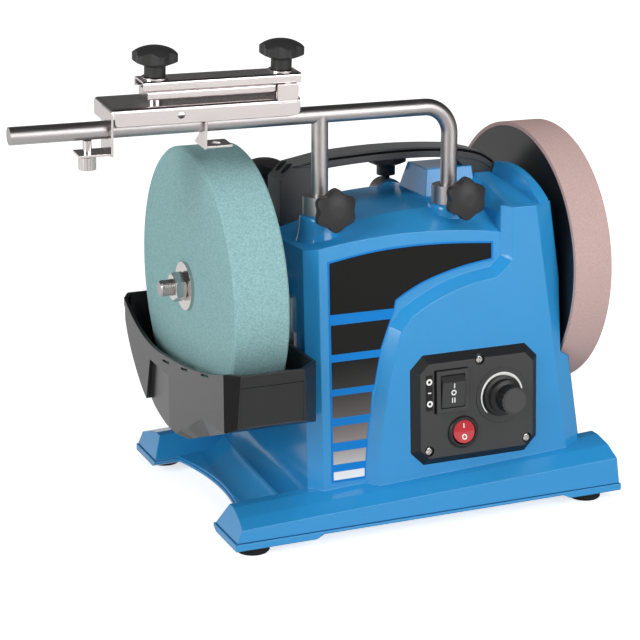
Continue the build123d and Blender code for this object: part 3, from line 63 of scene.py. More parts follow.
PAPER_WHITE, LAMP_WHITE = "#F4F4F2", "#FFFFFF"
PAPER_GLOW, PAPER_SWEEP = (0.7, 1.0), (0.4, 1.6)
PAPER_GLINT, PAPER_RISE = (0.0, 0.55), (-0.3, 0.5)
BACKDROP_WAY = (-0.6, 0.8, 0.0)
FLOOR_HALF = 9.0
floor_mesh = bpy.data.meshes.new("studio_floor")
floor_mesh.from_pydata([(-FLOOR_HALF, -FLOOR_HALF, 0), (FLOOR_HALF, -FLOOR_HALF, 0), (FLOOR_HALF, FLOOR_HALF, 0),
                        (-FLOOR_HALF, FLOOR_HALF, 0)], [], [(0, 1, 2, 3)])
floor = bpy.data.objects.new("studio_floor", floor_mesh)
scene.collection.objects.link(floor)
paper = bpy.data.materials.new("matt_white_paper")
paper.use_nodes = True
paper_tree = paper.node_tree
paper_shader = paper_tree.nodes["Principled BSDF"]
paper_shader.inputs["Base Color"].default_value = linear(PAPER_WHITE)
paper_shader.inputs["Roughness"].default_value = 0.9
paper_shader.inputs["Specular IOR Level"].default_value = 0.0
paper_path = add(paper_tree, "LightPath").outputs
paper_shine = add(paper_tree, "Math", {0: paper_path["Is Glossy Ray"], 1: paper_path["Is Transmission Ray"]},
                  operation="MAXIMUM")
paper_place = add(paper_tree, "TexCoord").outputs["Object"]
paper_back = add(paper_tree, "VectorMath", {0: paper_place, 1: BACKDROP_WAY}, operation="DOT_PRODUCT")
paper_rise = add(paper_tree, "MapRange", {"Value": paper_back.outputs["Value"], "From Min": PAPER_RISE[0],
                                          "From Max": PAPER_RISE[1], "To Min": PAPER_GLINT[0],
                                          "To Max": PAPER_GLINT[1]})
paper_glint = add(paper_tree, "Math", {0: paper_shine.outputs[0], 1: paper_rise.outputs[0]}, operation="MULTIPLY")
paper_far = add(paper_tree, "VectorMath", {0: paper_place}, operation="LENGTH")
paper_sweep = add(paper_tree, "MapRange", {"Value": paper_far.outputs["Value"], "From Min": PAPER_SWEEP[0],
                                           "From Max": PAPER_SWEEP[1], "To Min": PAPER_GLOW[0],
                                           "To Max": PAPER_GLOW[1]})
paper_glow = add(paper_tree, "MapRange", {"Value": paper_path["Is Camera Ray"], "To Min": paper_glint.outputs[0],
                                          "To Max": paper_sweep.outputs[0]})
paper_shader.inputs["Emission Color"].default_value = linear(LAMP_WHITE)
paper_tree.links.new(paper_glow.outputs[0], paper_shader.inputs["Emission Strength"])
floor_mesh.materials.append(paper)


# Studio room: a lit white backdrop behind and to the left, greyer walls in front and a dim ceiling.
# The camera sees plain white all round; gloss on the machine shows the bright backdrop low down and the dark
# ceiling above it.
BACKDROP, ROOM, CEILING, CEILING_GLINT = 1.0, 0.22, 0.12, 0.09
BACKDROP_TURN, CEILING_EDGE = (-0.4, 0.7), (0.08, 0.26)
world = bpy.data.worlds.new("studio_air")
scene.world = world
world.use_nodes = True
air = world.node_tree
air_way = add(air, "TexCoord").outputs["Generated"]
air_side = add(air, "VectorMath", {0: air_way, 1: BACKDROP_WAY}, operation="DOT_PRODUCT")
air_wall = add(air, "MapRange", {"Value": air_side.outputs["Value"], "From Min": BACKDROP_TURN[0],
                                 "From Max": BACKDROP_TURN[1], "To Min": ROOM, "To Max": BACKDROP})
air_path = add(air, "LightPath").outputs
air_shine = add(air, "Math", {0: air_path["Is Glossy Ray"], 1: air_path["Is Transmission Ray"]}, operation="MAXIMUM")
air_ceiling = add(air, "MapRange", {"Value": air_shine.outputs[0], "To Min": CEILING, "To Max": CEILING_GLINT})
air_height = add(air, "SeparateXYZ", {0: air_way}).outputs["Z"]
air_level = add(air, "MapRange", {"Value": air_height, "From Min": CEILING_EDGE[0], "From Max": CEILING_EDGE[1],
                                  "To Min": 1.0, "To Max": air_ceiling.outputs[0]})
air_light = add(air, "Math", {0: air_wall.outputs[0], 1: air_level.outputs[0]}, operation="MULTIPLY")
air_strength = add(air, "MapRange", {"Value": air_path["Is Camera Ray"], "To Min": air_light.outputs[0],
                                     "To Max": 1.0})
air.nodes["Background"].inputs["Color"].default_value = linear(LAMP_WHITE)
air.links.new(air_strength.outputs[0], air.nodes["Background"].inputs["Strength"])


# Softboxes: square lamps behind white cloth, two large ones in front and at the left and a weak one overhead.
# They give soft shadows; the overhead one stays out of reflections, so level metal reads dark.
# Each has its place and aim in metres, its side, its watts and whether reflections show it.
SOFTBOXES = {
    "front_softbox": ((0.6, -1.75, 0.8), (0.0, 0.0, 0.12), 1.3, 20.5, True),
    "left_softbox": ((-1.7, -0.7, 0.9), (-0.05, 0.0, 0.15), 0.9, 18.5, True),
    "top_softbox": ((0.1, -0.4, 1.7), (0.0, 0.0, 0.14), 1.2, 8.0, False),
}
for softbox, (place, aim, side, watts, mirrored) in SOFTBOXES.items():
    lamp = bpy.data.lights.new(softbox, "AREA")
    lamp.shape = "SQUARE"
    lamp.size = side
    lamp.energy = watts
    stand = bpy.data.objects.new(softbox, lamp)
    stand.location = place
    stand.rotation_euler = (Vector(aim) - Vector(place)).to_track_quat("-Z", "Y").to_euler()
    stand.visible_glossy = mirrored
    scene.collection.objects.link(stand)


# Camera: a long lens on a full-size sensor, in front of the machine, to its left and above it.
# Its place and focal length were fitted to the outlines of the two wheels in the photograph.
EYE, LOOK_AT = Vector((-0.5599, -1.2259, 0.5091)), Vector((-0.041, 0.0, 0.1309))
FOCAL_MM, SENSOR_MM = 104.8, 36.0
lens = bpy.data.cameras.new("catalogue_camera")
lens.lens = FOCAL_MM
lens.sensor_width = SENSOR_MM
camera = bpy.data.objects.new("catalogue_camera", lens)
camera.location = EYE
camera.rotation_euler = (LOOK_AT - EYE).to_track_quat("-Z", "Y").to_euler()
scene.collection.objects.link(camera)
scene.camera = camera


# Housing, base tray and rear cover: injection moulded ABS, dyed blue all through, from a lightly spark-eroded mould.
# The tool leaves a fine even grain and a soft gloss, and every outer edge has a small moulded radius that catches the
# light. The real grain of this and of the other mouldings is under 0.3 mm and is drawn coarser, so that it shows.
MM, CLOUD_MM, SHEEN_SPREAD = 0.001, 35.0, 0.05


def moulding(name, colour, roughness, grain_mm, depth_mm, edge_mm, specular=0.5, mottle=0.06, ior=1.53):
    material = bpy.data.materials.new(name)
    material.use_nodes = True
    tree = material.node_tree
    shader = tree.nodes["Principled BSDF"]
    shader.inputs["IOR"].default_value = ior
    shader.inputs["Specular IOR Level"].default_value = specular
    place = add(tree, "TexCoord").outputs["Object"]
    grain = add(tree, "TexNoise", {"Vector": place, "Scale": 1 / (grain_mm * MM), "Detail": 2.0})
    cloud = add(tree, "TexNoise", {"Vector": place, "Scale": 1 / (CLOUD_MM * MM), "Detail": 3.0})
    tone = add(tree, "MapRange", {"Value": cloud.outputs["Fac"], "To Min": 1 - mottle, "To Max": 1 + mottle})
    paint = add(tree, "HueSaturation", {"Value": tone.outputs[0], "Color": linear(colour)})
    sheen = add(tree, "MapRange", {"Value": grain.outputs["Fac"], "To Min": roughness - SHEEN_SPREAD,
                                   "To Max": roughness + SHEEN_SPREAD})
    edge = add(tree, "Bevel", {"Radius": edge_mm * MM}, samples=6)
    relief = add(tree, "Bump", {"Height": grain.outputs["Fac"], "Distance": depth_mm * MM, "Strength": 0.5,
                                "Normal": edge.outputs["Normal"]})
    tree.links.new(paint.outputs["Color"], shader.inputs["Base Color"])
    tree.links.new(sheen.outputs[0], shader.inputs["Roughness"])
    tree.links.new(relief.outputs["Normal"], shader.inputs["Normal"])
    return material


def dress(material, *names):
    for name in names:
        mesh = nodes[name].data
        mesh.materials.clear()
        mesh.materials.append(material)


blue_abs = moulding("moulded_blue_abs", "#2F95D4", roughness=0.14, grain_mm=0.9, depth_mm=0.002, edge_mm=1.2,
                    mottle=0.03)
dress(blue_abs, "main_housing", "base_pan", "rear_cover")


# Front sticker: printed vinyl film in the sunk field beside the controls, with a plain black head above six bars
# that fade from black to white, all on a blue ground. It is 0.1 mm thick and follows the wall's draft.
# The film has flat, even colours and a dull sheen.
WALL_FOOT = Vector((0.0, -89.0, 18.0))
DRAFT = 10.0 / 188.0
OUTWARD = Vector((0.0, -1.0, DRAFT)).normalized()
FILM_MM, FILM_GAP = 0.1, 0.02


def on_front(x, z, out):
    return (Vector((x, WALL_FOOT.y + (z - WALL_FOOT.z) * DRAFT, z)) + OUTWARD * out) * MM


def make_piece(name, points, faces, material, body, smooth=False):
    mesh = bpy.data.meshes.new(name)
    mesh.from_pydata(points, [], faces)
    mesh.validate()
    form = bmesh.new()
    form.from_mesh(mesh)
    bmesh.ops.recalc_face_normals(form, faces=form.faces)
    form.to_mesh(mesh)
    form.free()
    for face in mesh.polygons:
        face.use_smooth = smooth
    mesh.materials.append(material)
    piece = bpy.data.objects.new(name, mesh)
    scene.collection.objects.link(piece)
    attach(piece, body)
    return piece


def film(name, outlines, place, thick, material, body):
    points, faces = [], []
    for outline in outlines:
        first, count = len(points), len(outline)
        points += [place(u, v, 0.0) for u, v in outline] + [place(u, v, thick) for u, v in outline]
        faces.append([first + count + i for i in range(count)])
        faces.append([first + i for i in reversed(range(count))])
        faces += [(first + i, first + (i + 1) % count, first + count + (i + 1) % count, first + count + i)
                  for i in range(count)]
    return make_piece(name, points, faces, material, body)


def curve_through(points, steps):
    fine = []
    last = len(points) - 1
    for i in range(last):
        before, start, end, after = points[max(i - 1, 0)], points[i], points[i + 1], points[min(i + 2, last)]
        for k in range(steps):
            t = k / steps
            fine.append(tuple(0.5 * (2 * b + (c - a) * t + (2 * a - 5 * b + 4 * c - d) * t * t
                                     + (3 * b - a - 3 * c + d) * t ** 3)
                              for a, b, c, d in zip(before, start, end, after)))
    return fine + [points[-1]]


# Outlines as x, z in mm; each bar has its top, its foot and its right end at both.
HEAD_TOP = [(-67.8, 195.0), (-48.0, 198.2), (-28.3, 200.4), (-4.0, 201.3), (19.2, 200.9), (40.0, 199.6),
            (58.3, 198.0)]
HEAD_LOW = [(58.3, 187.1), (34.0, 183.6), (9.6, 177.4), (-6.0, 171.0), (-17.9, 164.3)]
HEAD_FOOT = [(-19.2, 158.4), (-68.0, 158.6)]
BARS = [(151.0, 130.0, -22.0, -30.0), (124.5, 105.0, -31.0, -35.0), (100.0, 84.0, -37.0, -38.6),
        (78.0, 66.0, -40.0, -41.6), (59.5, 50.0, -42.0, -43.0), (44.5, 38.5, -43.6, -43.8)]
BAR_LEFT, BAR_MARGIN = -67.6, 0.9
GROUND_LEFT, GROUND_RIGHT, GROUND_FOOT = -69.2, 59.8, 36.6
GROUND_ABOVE, GROUND_BELOW, GROUND_BESIDE = 1.3, 1.2, 0.6
head_top, head_low = curve_through(HEAD_TOP, steps=4), curve_through(HEAD_LOW, steps=4)
head = head_top + head_low + HEAD_FOOT
bars = [[(BAR_LEFT, top), (right_top, top), (right_low, low), (BAR_LEFT, low)]
        for top, low, right_top, right_low in BARS]
ground = [(GROUND_LEFT, 196.3), *[(x, z + GROUND_ABOVE) for x, z in head_top[1:-1]], (GROUND_RIGHT, 199.4),
          (GROUND_RIGHT, 186.0), *[(x + GROUND_BESIDE, z - GROUND_BELOW) for x, z in head_low[1:]], (-18.0, 158.4)]
ground += [(x + BAR_MARGIN, z) for top, low, right_top, right_low in BARS
           for x, z in ((right_top, top), (right_low, low))]
ground += [(-42.9, GROUND_FOOT), (GROUND_LEFT, GROUND_FOOT)]

VINYL = dict(roughness=0.5, grain_mm=1.5, depth_mm=0.004, edge_mm=0.2, mottle=0.02)
VINYL_BLACK = "#181817"
sticker_blue = moulding("printed_vinyl_blue", "#0A80D2", specular=0.15, **VINYL)
sticker_black = moulding("printed_vinyl_black", VINYL_BLACK, specular=0.12, **VINYL)
sticker_fade = moulding("printed_vinyl_fade", VINYL_BLACK, specular=0.12, **VINYL)
FADE_LOW, FADE_HIGH = 38.0, 130.0
FADE_STOPS = [(38.0, "#F6F6F6"), (45.0, "#EDEDED"), (50.0, "#C3C0BE"), (66.0, "#918886"), (84.0, "#66605E"),
              (105.0, "#3B3A39"), (125.0, "#1C1B1A")]
fade_tree = sticker_fade.node_tree
fade_place = add(fade_tree, "SeparateXYZ", {0: add(fade_tree, "TexCoord").outputs["Object"]})
fade_height = add(fade_tree, "MapRange", {"Value": fade_place.outputs["Z"], "From Min": FADE_LOW * MM,
                                          "From Max": FADE_HIGH * MM})
fade = add(fade_tree, "ValToRGB", {"Fac": fade_height.outputs[0]})
while len(fade.color_ramp.elements) < len(FADE_STOPS):
    fade.color_ramp.elements.new(0.5)
for stop, (z, colour) in zip(fade.color_ramp.elements, FADE_STOPS):
    stop.position = (z - FADE_LOW) / (FADE_HIGH - FADE_LOW)
    stop.color = linear(colour)
fade_tree.links.new(fade.outputs["Color"], fade_tree.nodes["Principled BSDF"].inputs["Base Color"])

film("sticker_ground", [ground], lambda x, z, out: on_front(x, z, FILM_GAP + out), FILM_MM, sticker_blue, "housing")
film("sticker_head", [head], lambda x, z, out: on_front(x, z, FILM_MM + out), FILM_MM, sticker_black, "housing")
film("sticker_bars", bars, lambda x, z, out: on_front(x, z, FILM_MM + out), FILM_MM, sticker_fade, "housing")


# Base seam: the joint where the moulded body sits on its bottom tray, a fine gap above the tray's lip.
# The shade in that gap is painted: a strip of painted shadow, dark blue ABS, along the front leg and the left ends
# of both legs.
SEAM_LOW, SEAM_HIGH, SEAM_MM = 12.05, 12.65, 0.05
LEG_FOOT, LEG_FRONT, LEG_END, END_LEAN = 12.0, -112.0, -150.0, 21.0 / 48.0
LEG_SPANS = ((-111.9, -68.4), (68.4, 111.9))
END_OUT = Vector((-1.0, 0.0, END_LEAN)).normalized()


def on_leg_front(x, z, out):
    return Vector((x, LEG_FRONT - FILM_GAP - out, z)) * MM


def on_leg_end(y, z, out):
    return (Vector((LEG_END + END_LEAN * (z - LEG_FOOT), y, z)) + END_OUT * (FILM_GAP + out)) * MM


seam_shadow_blue = moulding("painted_seam_shadow", "#0F4C7C", roughness=0.6, grain_mm=0.9, depth_mm=0.002, edge_mm=0.1,
                       specular=0.2, mottle=0.02)
film("base_seam_shadow_front", [[(-149.6, SEAM_LOW), (153.9, SEAM_LOW), (153.8, SEAM_HIGH), (-149.4, SEAM_HIGH)]],
     on_leg_front, SEAM_MM, seam_shadow_blue, "housing")
film("base_seam_shadow_ends", [[(low, SEAM_LOW), (high, SEAM_LOW), (high, SEAM_HIGH), (low, SEAM_HIGH)]
                        for low, high in LEG_SPANS], on_leg_end, SEAM_MM, seam_shadow_blue, "housing")


# Bar bosses: flared rings round the two towers that hold the support bar's sleeves.
# They are part of the blue moulding, with a rounded lip under each steel collar and a foot that runs out into
# the deck. The profile is radius and height in mm.
BOSS_PROFILE = [(12.1, 223.9), (13.4, 223.6), (14.3, 222.6), (14.6, 220.5), (15.0, 214.0), (16.0, 208.0),
                (17.6, 204.0), (19.2, 201.6), (19.2, 200.0), (12.1, 200.0)]
BOSS_XS, BOSS_Y, BOSS_STEPS = (-62.4, 38.0), -50.0, 48
boss_points, boss_faces = [], []
for boss_x in BOSS_XS:
    first, rows = len(boss_points), len(BOSS_PROFILE)
    boss_turns = [2 * math.pi * i / BOSS_STEPS for i in range(BOSS_STEPS)]
    boss_points += [Vector((boss_x + r * math.cos(turn), BOSS_Y + r * math.sin(turn), z)) * MM
                    for turn in boss_turns for r, z in BOSS_PROFILE]
    for i in range(BOSS_STEPS):
        here, there = first + i * rows, first + (i + 1) % BOSS_STEPS * rows
        boss_faces += [(here + k, there + k, there + (k + 1) % rows, here + (k + 1) % rows) for k in range(rows)]
make_piece("bar_bosses", boss_points, boss_faces, blue_abs, "housing", True)


# Carry handle and cable inlet: black ABS with a matt grain, screwed to the body. The handle is an arched bar with
# a thin lip, a moulded groove under it and a flat front. Its upper side is painted paler than its front as painted
# light from above, and the groove holds a near-black strip of painted shadow.
# The helper below paints light and shade into a colour: faces turned towards way take the second colour.
def shade_by_facing(material, colour, turned_colour, way, start, full):
    tree = material.node_tree
    normal = add(tree, "NewGeometry").outputs["True Normal"]
    turn = add(tree, "VectorMath", {0: normal, 1: way}, operation="DOT_PRODUCT")
    turned = add(tree, "MapRange", {"Value": turn.outputs["Value"], "From Min": start, "From Max": full})
    tones = add(tree, "ValToRGB", {"Fac": turned.outputs[0]})
    tones.color_ramp.elements[0].color = linear(colour)
    tones.color_ramp.elements[1].color = linear(turned_colour)
    tree.links.new(tones.outputs["Color"], tree.nodes["Principled BSDF"].inputs["Base Color"])
    return turned


UP = Vector((0.0, 0.0, 1.0))
HANDLE_BLACK, HANDLE_LIT_TOP = "#424242", "#666666"
black_abs = moulding("moulded_black_abs", HANDLE_BLACK, roughness=0.45, grain_mm=0.7, depth_mm=0.02, edge_mm=0.9,
                     specular=0.4)
# Painted light: the upper side is painted paler, as if lit from above.
shade_by_facing(black_abs, HANDLE_BLACK, HANDLE_LIT_TOP, way=UP, start=0.6, full=0.85)
dress(black_abs, "carry_handle", "cable_gland")
# Painted shadow: a near-black strip laid in the handle's groove, beside the direction switch and along the trough's
# band, where shade falls.
gap_shadow_black = moulding("painted_gap_shadow", "#0B0B0B", roughness=0.8, grain_mm=0.7, depth_mm=0.01, edge_mm=0.1,
                        specular=0.1, mottle=0.02)

# Each band has the drop to its upper and lower edge and how far it stands proud; all grow from the left end.
LIP_MM, LIP_PROUD, LIP_RUN, LIP_START = 1.0, 0.8, 30.0, 0.03
HANDLE_FRONT = -7.0
HANDLE_TOP = [(-64.6, 249.6), (-40.0, 254.3), (-20.0, 255.6), (0.0, 256.4), (20.0, 256.7), (40.0, 256.2),
              (60.0, 254.8), (70.0, 253.8), (85.6, 249.8), (96.6, 242.8)]
HANDLE_BANDS = {"handle_lip": (0.0, LIP_MM, LIP_PROUD, black_abs), "handle_seam_shadow": (LIP_MM, 2.8, 0.05, gap_shadow_black),
                "handle_front": (2.8, 7.4, LIP_PROUD, black_abs)}
for band, (upper, lower, proud, plastic) in HANDLE_BANDS.items():
    points = []
    for x, z in curve_through(HANDLE_TOP, steps=3):
        grown = min(1.0, LIP_START + (x - HANDLE_TOP[0][0]) / LIP_RUN)
        front = HANDLE_FRONT - proud * grown
        top, low = [z - min(drop, LIP_MM) - max(drop - LIP_MM, 0.0) * grown for drop in (upper, lower)]
        points += [Vector((x, y, height)) * MM for y, height in ((HANDLE_FRONT, top), (front, top), (front, low),
                                                                  (HANDLE_FRONT, low))]
    faces = [(0, 1, 2, 3), tuple(len(points) - k for k in (1, 2, 3, 4))]
    faces += [(i + k, i + (k + 1) % 4, i + 4 + (k + 1) % 4, i + 4 + k) for i in range(0, len(points) - 4, 4)
              for k in range(4)]
    make_piece(band, points, faces, plastic, "housing")


# Control panel and direction switch: black ABS plate with chamfered edges, held by three screws, and a snap-in
# rocker switch in it. The flat faces are matt dark grey; the edges are painted nearly black as painted shade.
PANEL_GREY, PANEL_EDGE_SHADE = "#3C3C3C", "#1B1B1B"
panel_abs = moulding("moulded_panel_abs", PANEL_GREY, roughness=0.5, grain_mm=0.7, depth_mm=0.02, edge_mm=0.6,
                     specular=0.35)
# Painted shade: faces turned away from the panel's face are painted nearly black.
shade_by_facing(panel_abs, PANEL_EDGE_SHADE, PANEL_GREY, way=OUTWARD, start=0.9, full=0.98)
dress(panel_abs, "control_panel", "direction_switch", "direction_rocker")


# Power switch: a round black nylon bezel that snaps into the panel, with a red rocker in it.
# The nylon is a smooth satin black. The rocker is deep red polycarbonate from a polished mould and reads as a
# clean, slightly glossy red.
switch_nylon = moulding("moulded_black_nylon", "#1E1E1E", roughness=0.38, grain_mm=0.7, depth_mm=0.01, edge_mm=0.4,
                        specular=0.4)
dress(switch_nylon, "power_switch")
red_polycarbonate = moulding("moulded_red_polycarbonate", "#BE2A33", roughness=0.35, grain_mm=2.0, depth_mm=0.004,
                             edge_mm=0.4, specular=0.25, mottle=0.03, ior=1.58)
dress(red_polycarbonate, "power_rocker")


# Speed knob: a push-on knob of black ABS with a wide skirt and a smaller grip.
# The sides are satin black; the end of the grip is a paler grey.
KNOB_BLACK, KNOB_END_GREY = "#1C1C1C", "#454545"
CAP_OUT, CAP_EDGE = 31.0, 0.6
knob_abs = moulding("moulded_knob_abs", KNOB_BLACK, roughness=0.38, grain_mm=0.7, depth_mm=0.01, edge_mm=0.4,
                    specular=0.4)
knob_tree = knob_abs.node_tree
knob_reach = add(knob_tree, "VectorMath", {0: add(knob_tree, "TexCoord").outputs["Object"], 1: OUTWARD},
                 operation="DOT_PRODUCT")
cap_from = WALL_FOOT.dot(OUTWARD) + CAP_OUT
knob_cap = add(knob_tree, "MapRange", {"Value": knob_reach.outputs["Value"], "From Min": cap_from * MM,
                                       "From Max": (cap_from + CAP_EDGE) * MM})
knob_tones = add(knob_tree, "ValToRGB", {"Fac": knob_cap.outputs[0]})
knob_tones.color_ramp.elements[0].color = linear(KNOB_BLACK)
knob_tones.color_ramp.elements[1].color = linear(KNOB_END_GREY)
knob_tree.links.new(knob_tones.outputs["Color"], knob_tree.nodes["Principled BSDF"].inputs["Base Color"])
dress(knob_abs, "speed_knob")


# Marks on the panel: white and black ink, pad printed on the mouldings about 0.05 mm thick, flat and matt.
# A black strip with two rings and a dash stands beside the direction switch, the rockers carry plain position
# marks, and a scale that widens clockwise runs round the speed knob.
INK_MM, PANEL_OUT = 0.05, 12.2


def hoops(name, loops, place, material, body):
    points, faces = [], []
    for loop in loops:
        first, last = len(points), len(loop) - 1
        for inner, outer in loop:
            points += [place(*inner, 0.0), place(*outer, 0.0), place(*outer, INK_MM), place(*inner, INK_MM)]
        closed = loop[0] == loop[last]
        if closed:
            del points[-4:]
        else:
            faces += [(first, first + 1, first + 2, first + 3), tuple(first + 4 * last + k for k in (3, 2, 1, 0))]
        for i in range(last):
            here, there = first + 4 * i, first + (0 if closed and i == last - 1 else 4 * (i + 1))
            faces += [(here + k, here + (k + 1) % 4, there + (k + 1) % 4, there + k) for k in range(4)]
    return make_piece(name, points, faces, material, body)


def circle(x, z, inner, outer, steps=24):
    turns = [2 * math.pi * (i % steps) / steps for i in range(steps + 1)]
    return [tuple((x + r * math.cos(t), z + r * math.sin(t)) for r in (inner, outer)) for t in turns]


def dash(x, z, wide, tall):
    return [(x - wide / 2, z - tall / 2), (x + wide / 2, z - tall / 2), (x + wide / 2, z + tall / 2),
            (x - wide / 2, z + tall / 2)]


def on_panel(x, z, out):
    return on_front(x, z, PANEL_OUT + FILM_GAP + out)


INK = dict(roughness=0.5, grain_mm=1.5, depth_mm=0.004, edge_mm=0.1, specular=0.3, mottle=0.02, ior=1.5)
white_ink = moulding("printed_white_ink", "#F2F2F0", **INK)
black_ink = moulding("printed_black_ink", "#121212", **INK)
SWITCH_GAP_SHADOW = [(6.1, 80.8), (7.5, 80.8), (7.5, 112.0), (32.4, 112.0), (32.4, 112.7), (6.1, 112.7)]
film("strip_ground", [dash(2.15, 96.65, 5.5, 26.1)], on_panel, INK_MM, black_ink, "housing")
# Painted shadow: a near-black strip along the left and top of the direction switch's frame.
film("switch_gap_shadow", [SWITCH_GAP_SHADOW], on_panel, INK_MM, gap_shadow_black, "housing")
film("strip_dash", [dash(2.5, 96.7, 2.6, 0.9)], lambda x, z, out: on_panel(x, z, INK_MM + out), INK_MM, white_ink,
     "housing")
hoops("strip_rings", [circle(2.3, 104.7, 1.05, 2.4), circle(2.7, 88.6, 1.05, 2.4)],
      lambda x, z, out: on_panel(x, z, INK_MM + out), white_ink, "housing")

# The speed scale: its width at each turn in degrees; its inner edge runs down over the step round the knob.
SCALE_X, SCALE_Z, SCALE_R, STEP_R, STEP_OUT, SCALE_STEPS = 60.3, 88.4, 17.1, 15.4, 0.5, 12
LEAST_FOOT = 0.1
SCALE_WIDTHS = [(225, 0.75), (180, 1.15), (90, 2.4), (3, 2.9)]
scale_turns = [(start + (end - start) * i / SCALE_STEPS, wide + (wider - wide) * i / SCALE_STEPS)
               for (start, wide), (end, wider) in zip(SCALE_WIDTHS, SCALE_WIDTHS[1:]) for i in range(SCALE_STEPS)]


def scale_point(turn, radius):
    return SCALE_X + radius * math.cos(math.radians(turn)), SCALE_Z + radius * math.sin(math.radians(turn))


scale_high = [(scale_point(turn, max(SCALE_R - wide, STEP_R)), scale_point(turn, SCALE_R))
              for turn, wide in scale_turns]
scale_low = [(scale_point(turn, SCALE_R - wide), scale_point(turn, STEP_R)) for turn, wide in scale_turns
             if SCALE_R - wide < STEP_R - LEAST_FOOT]
hoops("speed_scale", [scale_high], lambda x, z, out: on_panel(x, z, STEP_OUT + out), white_ink, "housing")
hoops("speed_scale_foot", [scale_low], on_panel, white_ink, "housing")

# The direction rocker's face rises from its low end to its waist, given as height along it and height out of it.
ROCKER_X, ROCKER_Z, ROCKER_LOW, ROCKER_WAIST = 20.5, 96.3, (-11.6, 1.7), (7.1, 3.4)
ROCKER_RISE = (ROCKER_WAIST[1] - ROCKER_LOW[1]) / (ROCKER_WAIST[0] - ROCKER_LOW[0])


def on_rocker(x, z, out):
    lift = ROCKER_LOW[1] + (z - ROCKER_LOW[0]) * ROCKER_RISE
    return on_front(ROCKER_X + x, ROCKER_Z + z, PANEL_OUT + lift + FILM_GAP + out)


film("rocker_dashes", [dash(0.3, 4.4, 0.85, 3.6), dash(-0.95, -6.4, 0.8, 3.8), dash(0.95, -6.4, 0.8, 3.8)], on_rocker,
     INK_MM, white_ink, "rocker")
hoops("rocker_ring", [circle(0.0, -0.7, 1.15, 2.1)], on_rocker, white_ink, "rocker")

# The power rocker is a shallow V that stands tilted about its pivot, which is sunk below the panel's face.
POWER_X, POWER_Z, POWER_R, POWER_SINK = 28.8, 65.0, 8.45, 2.2
POWER_TILT, POWER_WAIST, POWER_LIFT = math.radians(8), 4.2, 0.8


def on_power(x, z, out):
    rise = POWER_WAIST + POWER_LIFT * abs(z) / POWER_R + FILM_GAP + out
    along = z * math.cos(POWER_TILT) + rise * math.sin(POWER_TILT)
    lift = rise * math.cos(POWER_TILT) - z * math.sin(POWER_TILT)
    return on_front(POWER_X + x, POWER_Z + along, PANEL_OUT - POWER_SINK + lift)


film("power_dash", [dash(0.0, 4.3, 0.9, 3.4)], on_power, INK_MM, white_ink, "power")
hoops("power_ring", [circle(0.0, -3.9, 1.15, 2.1)], on_power, white_ink, "power")


# Star knobs: glass-filled nylon moulded round a brass insert on a zinc plated stud, turned into the sleeves and
# the jig by hand. The fibres leave a dull, slightly rough black without hard highlights.
knob_nylon = moulding("moulded_glass_filled_nylon", "#2E2D2D", roughness=0.48, grain_mm=0.8, depth_mm=0.03,
                      edge_mm=0.9, specular=0.4)
dress(knob_nylon, "left_clamp_knob", "right_clamp_knob", "left_rear_knob", "right_rear_knob", "left_jig_knob",
      "right_jig_knob")


# Water trough: black polypropylene, moulded thin with draft and chamfered corners, hung on two studs.
# It has a waxy half gloss; the chamfers are painted darker and less glossy than the walls as painted shade. A strip
# of painted shadow lies along the lower edge of the band under its rim.
TROUGH_BLACK, CHAMFER_SHADE = "#1F1F20", "#101010"
TROUGH_GLOSS, CHAMFER_GLOSS = 0.5, 0.18
CHAMFER_WAY = Vector((-1.0, -1.0, 0.0)).normalized()
polypropylene = moulding("moulded_black_polypropylene", TROUGH_BLACK, roughness=0.3, grain_mm=1.1, depth_mm=0.012,
                         edge_mm=0.9, ior=1.49)
# Painted shade: faces turned towards the front-left chamfers are painted darker, with a lower specular level.
chamfer_shade_mask = shade_by_facing(polypropylene, TROUGH_BLACK, CHAMFER_SHADE, way=CHAMFER_WAY, start=0.9, full=0.95)
trough_tree = polypropylene.node_tree
trough_gloss = add(trough_tree, "MapRange", {"Value": chamfer_shade_mask.outputs[0], "To Min": TROUGH_GLOSS,
                                             "To Max": CHAMFER_GLOSS})
trough_tree.links.new(trough_gloss.outputs[0], trough_tree.nodes["Principled BSDF"].inputs["Specular IOR Level"])
dress(polypropylene, "water_trough")
TROUGH_FRONT, TROUGH_RIM, TROUGH_LEAN, BAND_STEP = -121.5, 135.5, 2.0 / 37.5, 0.8
BAND_LEFT, BAND_RIGHT, BAND_LOW, BAND_HIGH, BAND_MM = -149.2, -103.8, 126.3, 126.95, 0.05


def on_trough(x, z, out):
    return Vector((x, TROUGH_FRONT + (TROUGH_RIM - z) * TROUGH_LEAN + BAND_STEP - FILM_GAP - out, z)) * MM


# Painted shadow: a near-black strip under the band's lower edge.
film("trough_band_shadow", [[(BAND_LEFT, BAND_LOW), (BAND_RIGHT, BAND_LOW), (BAND_RIGHT, BAND_HIGH),
                           (BAND_LEFT, BAND_HIGH)]], on_trough, BAND_MM, gap_shadow_black, "trough")


# Feet: pressed discs of soft black rubber, each screwed up into a leg from below.
# Rubber has a dull, slightly dusty black without gloss.
rubber = moulding("pressed_black_rubber", "#1A1A1A", roughness=0.8, grain_mm=0.6, depth_mm=0.03, edge_mm=0.5,
                  specular=0.3, ior=1.52)
dress(rubber, "rubber_feet")


# Tool support bar and sleeves: drawn round steel, bent and welded, then nickel plated; the sleeves are set in the
# body's bosses. The plating is bright but satin, with faint draw lines along the bar. Lines on this and on the other
# metals are really under 0.1 mm and are drawn coarser, so that they show.
DULL_RANGE, SHINE_RANGE = (0.75, 1.3), (0.93, 1.05)


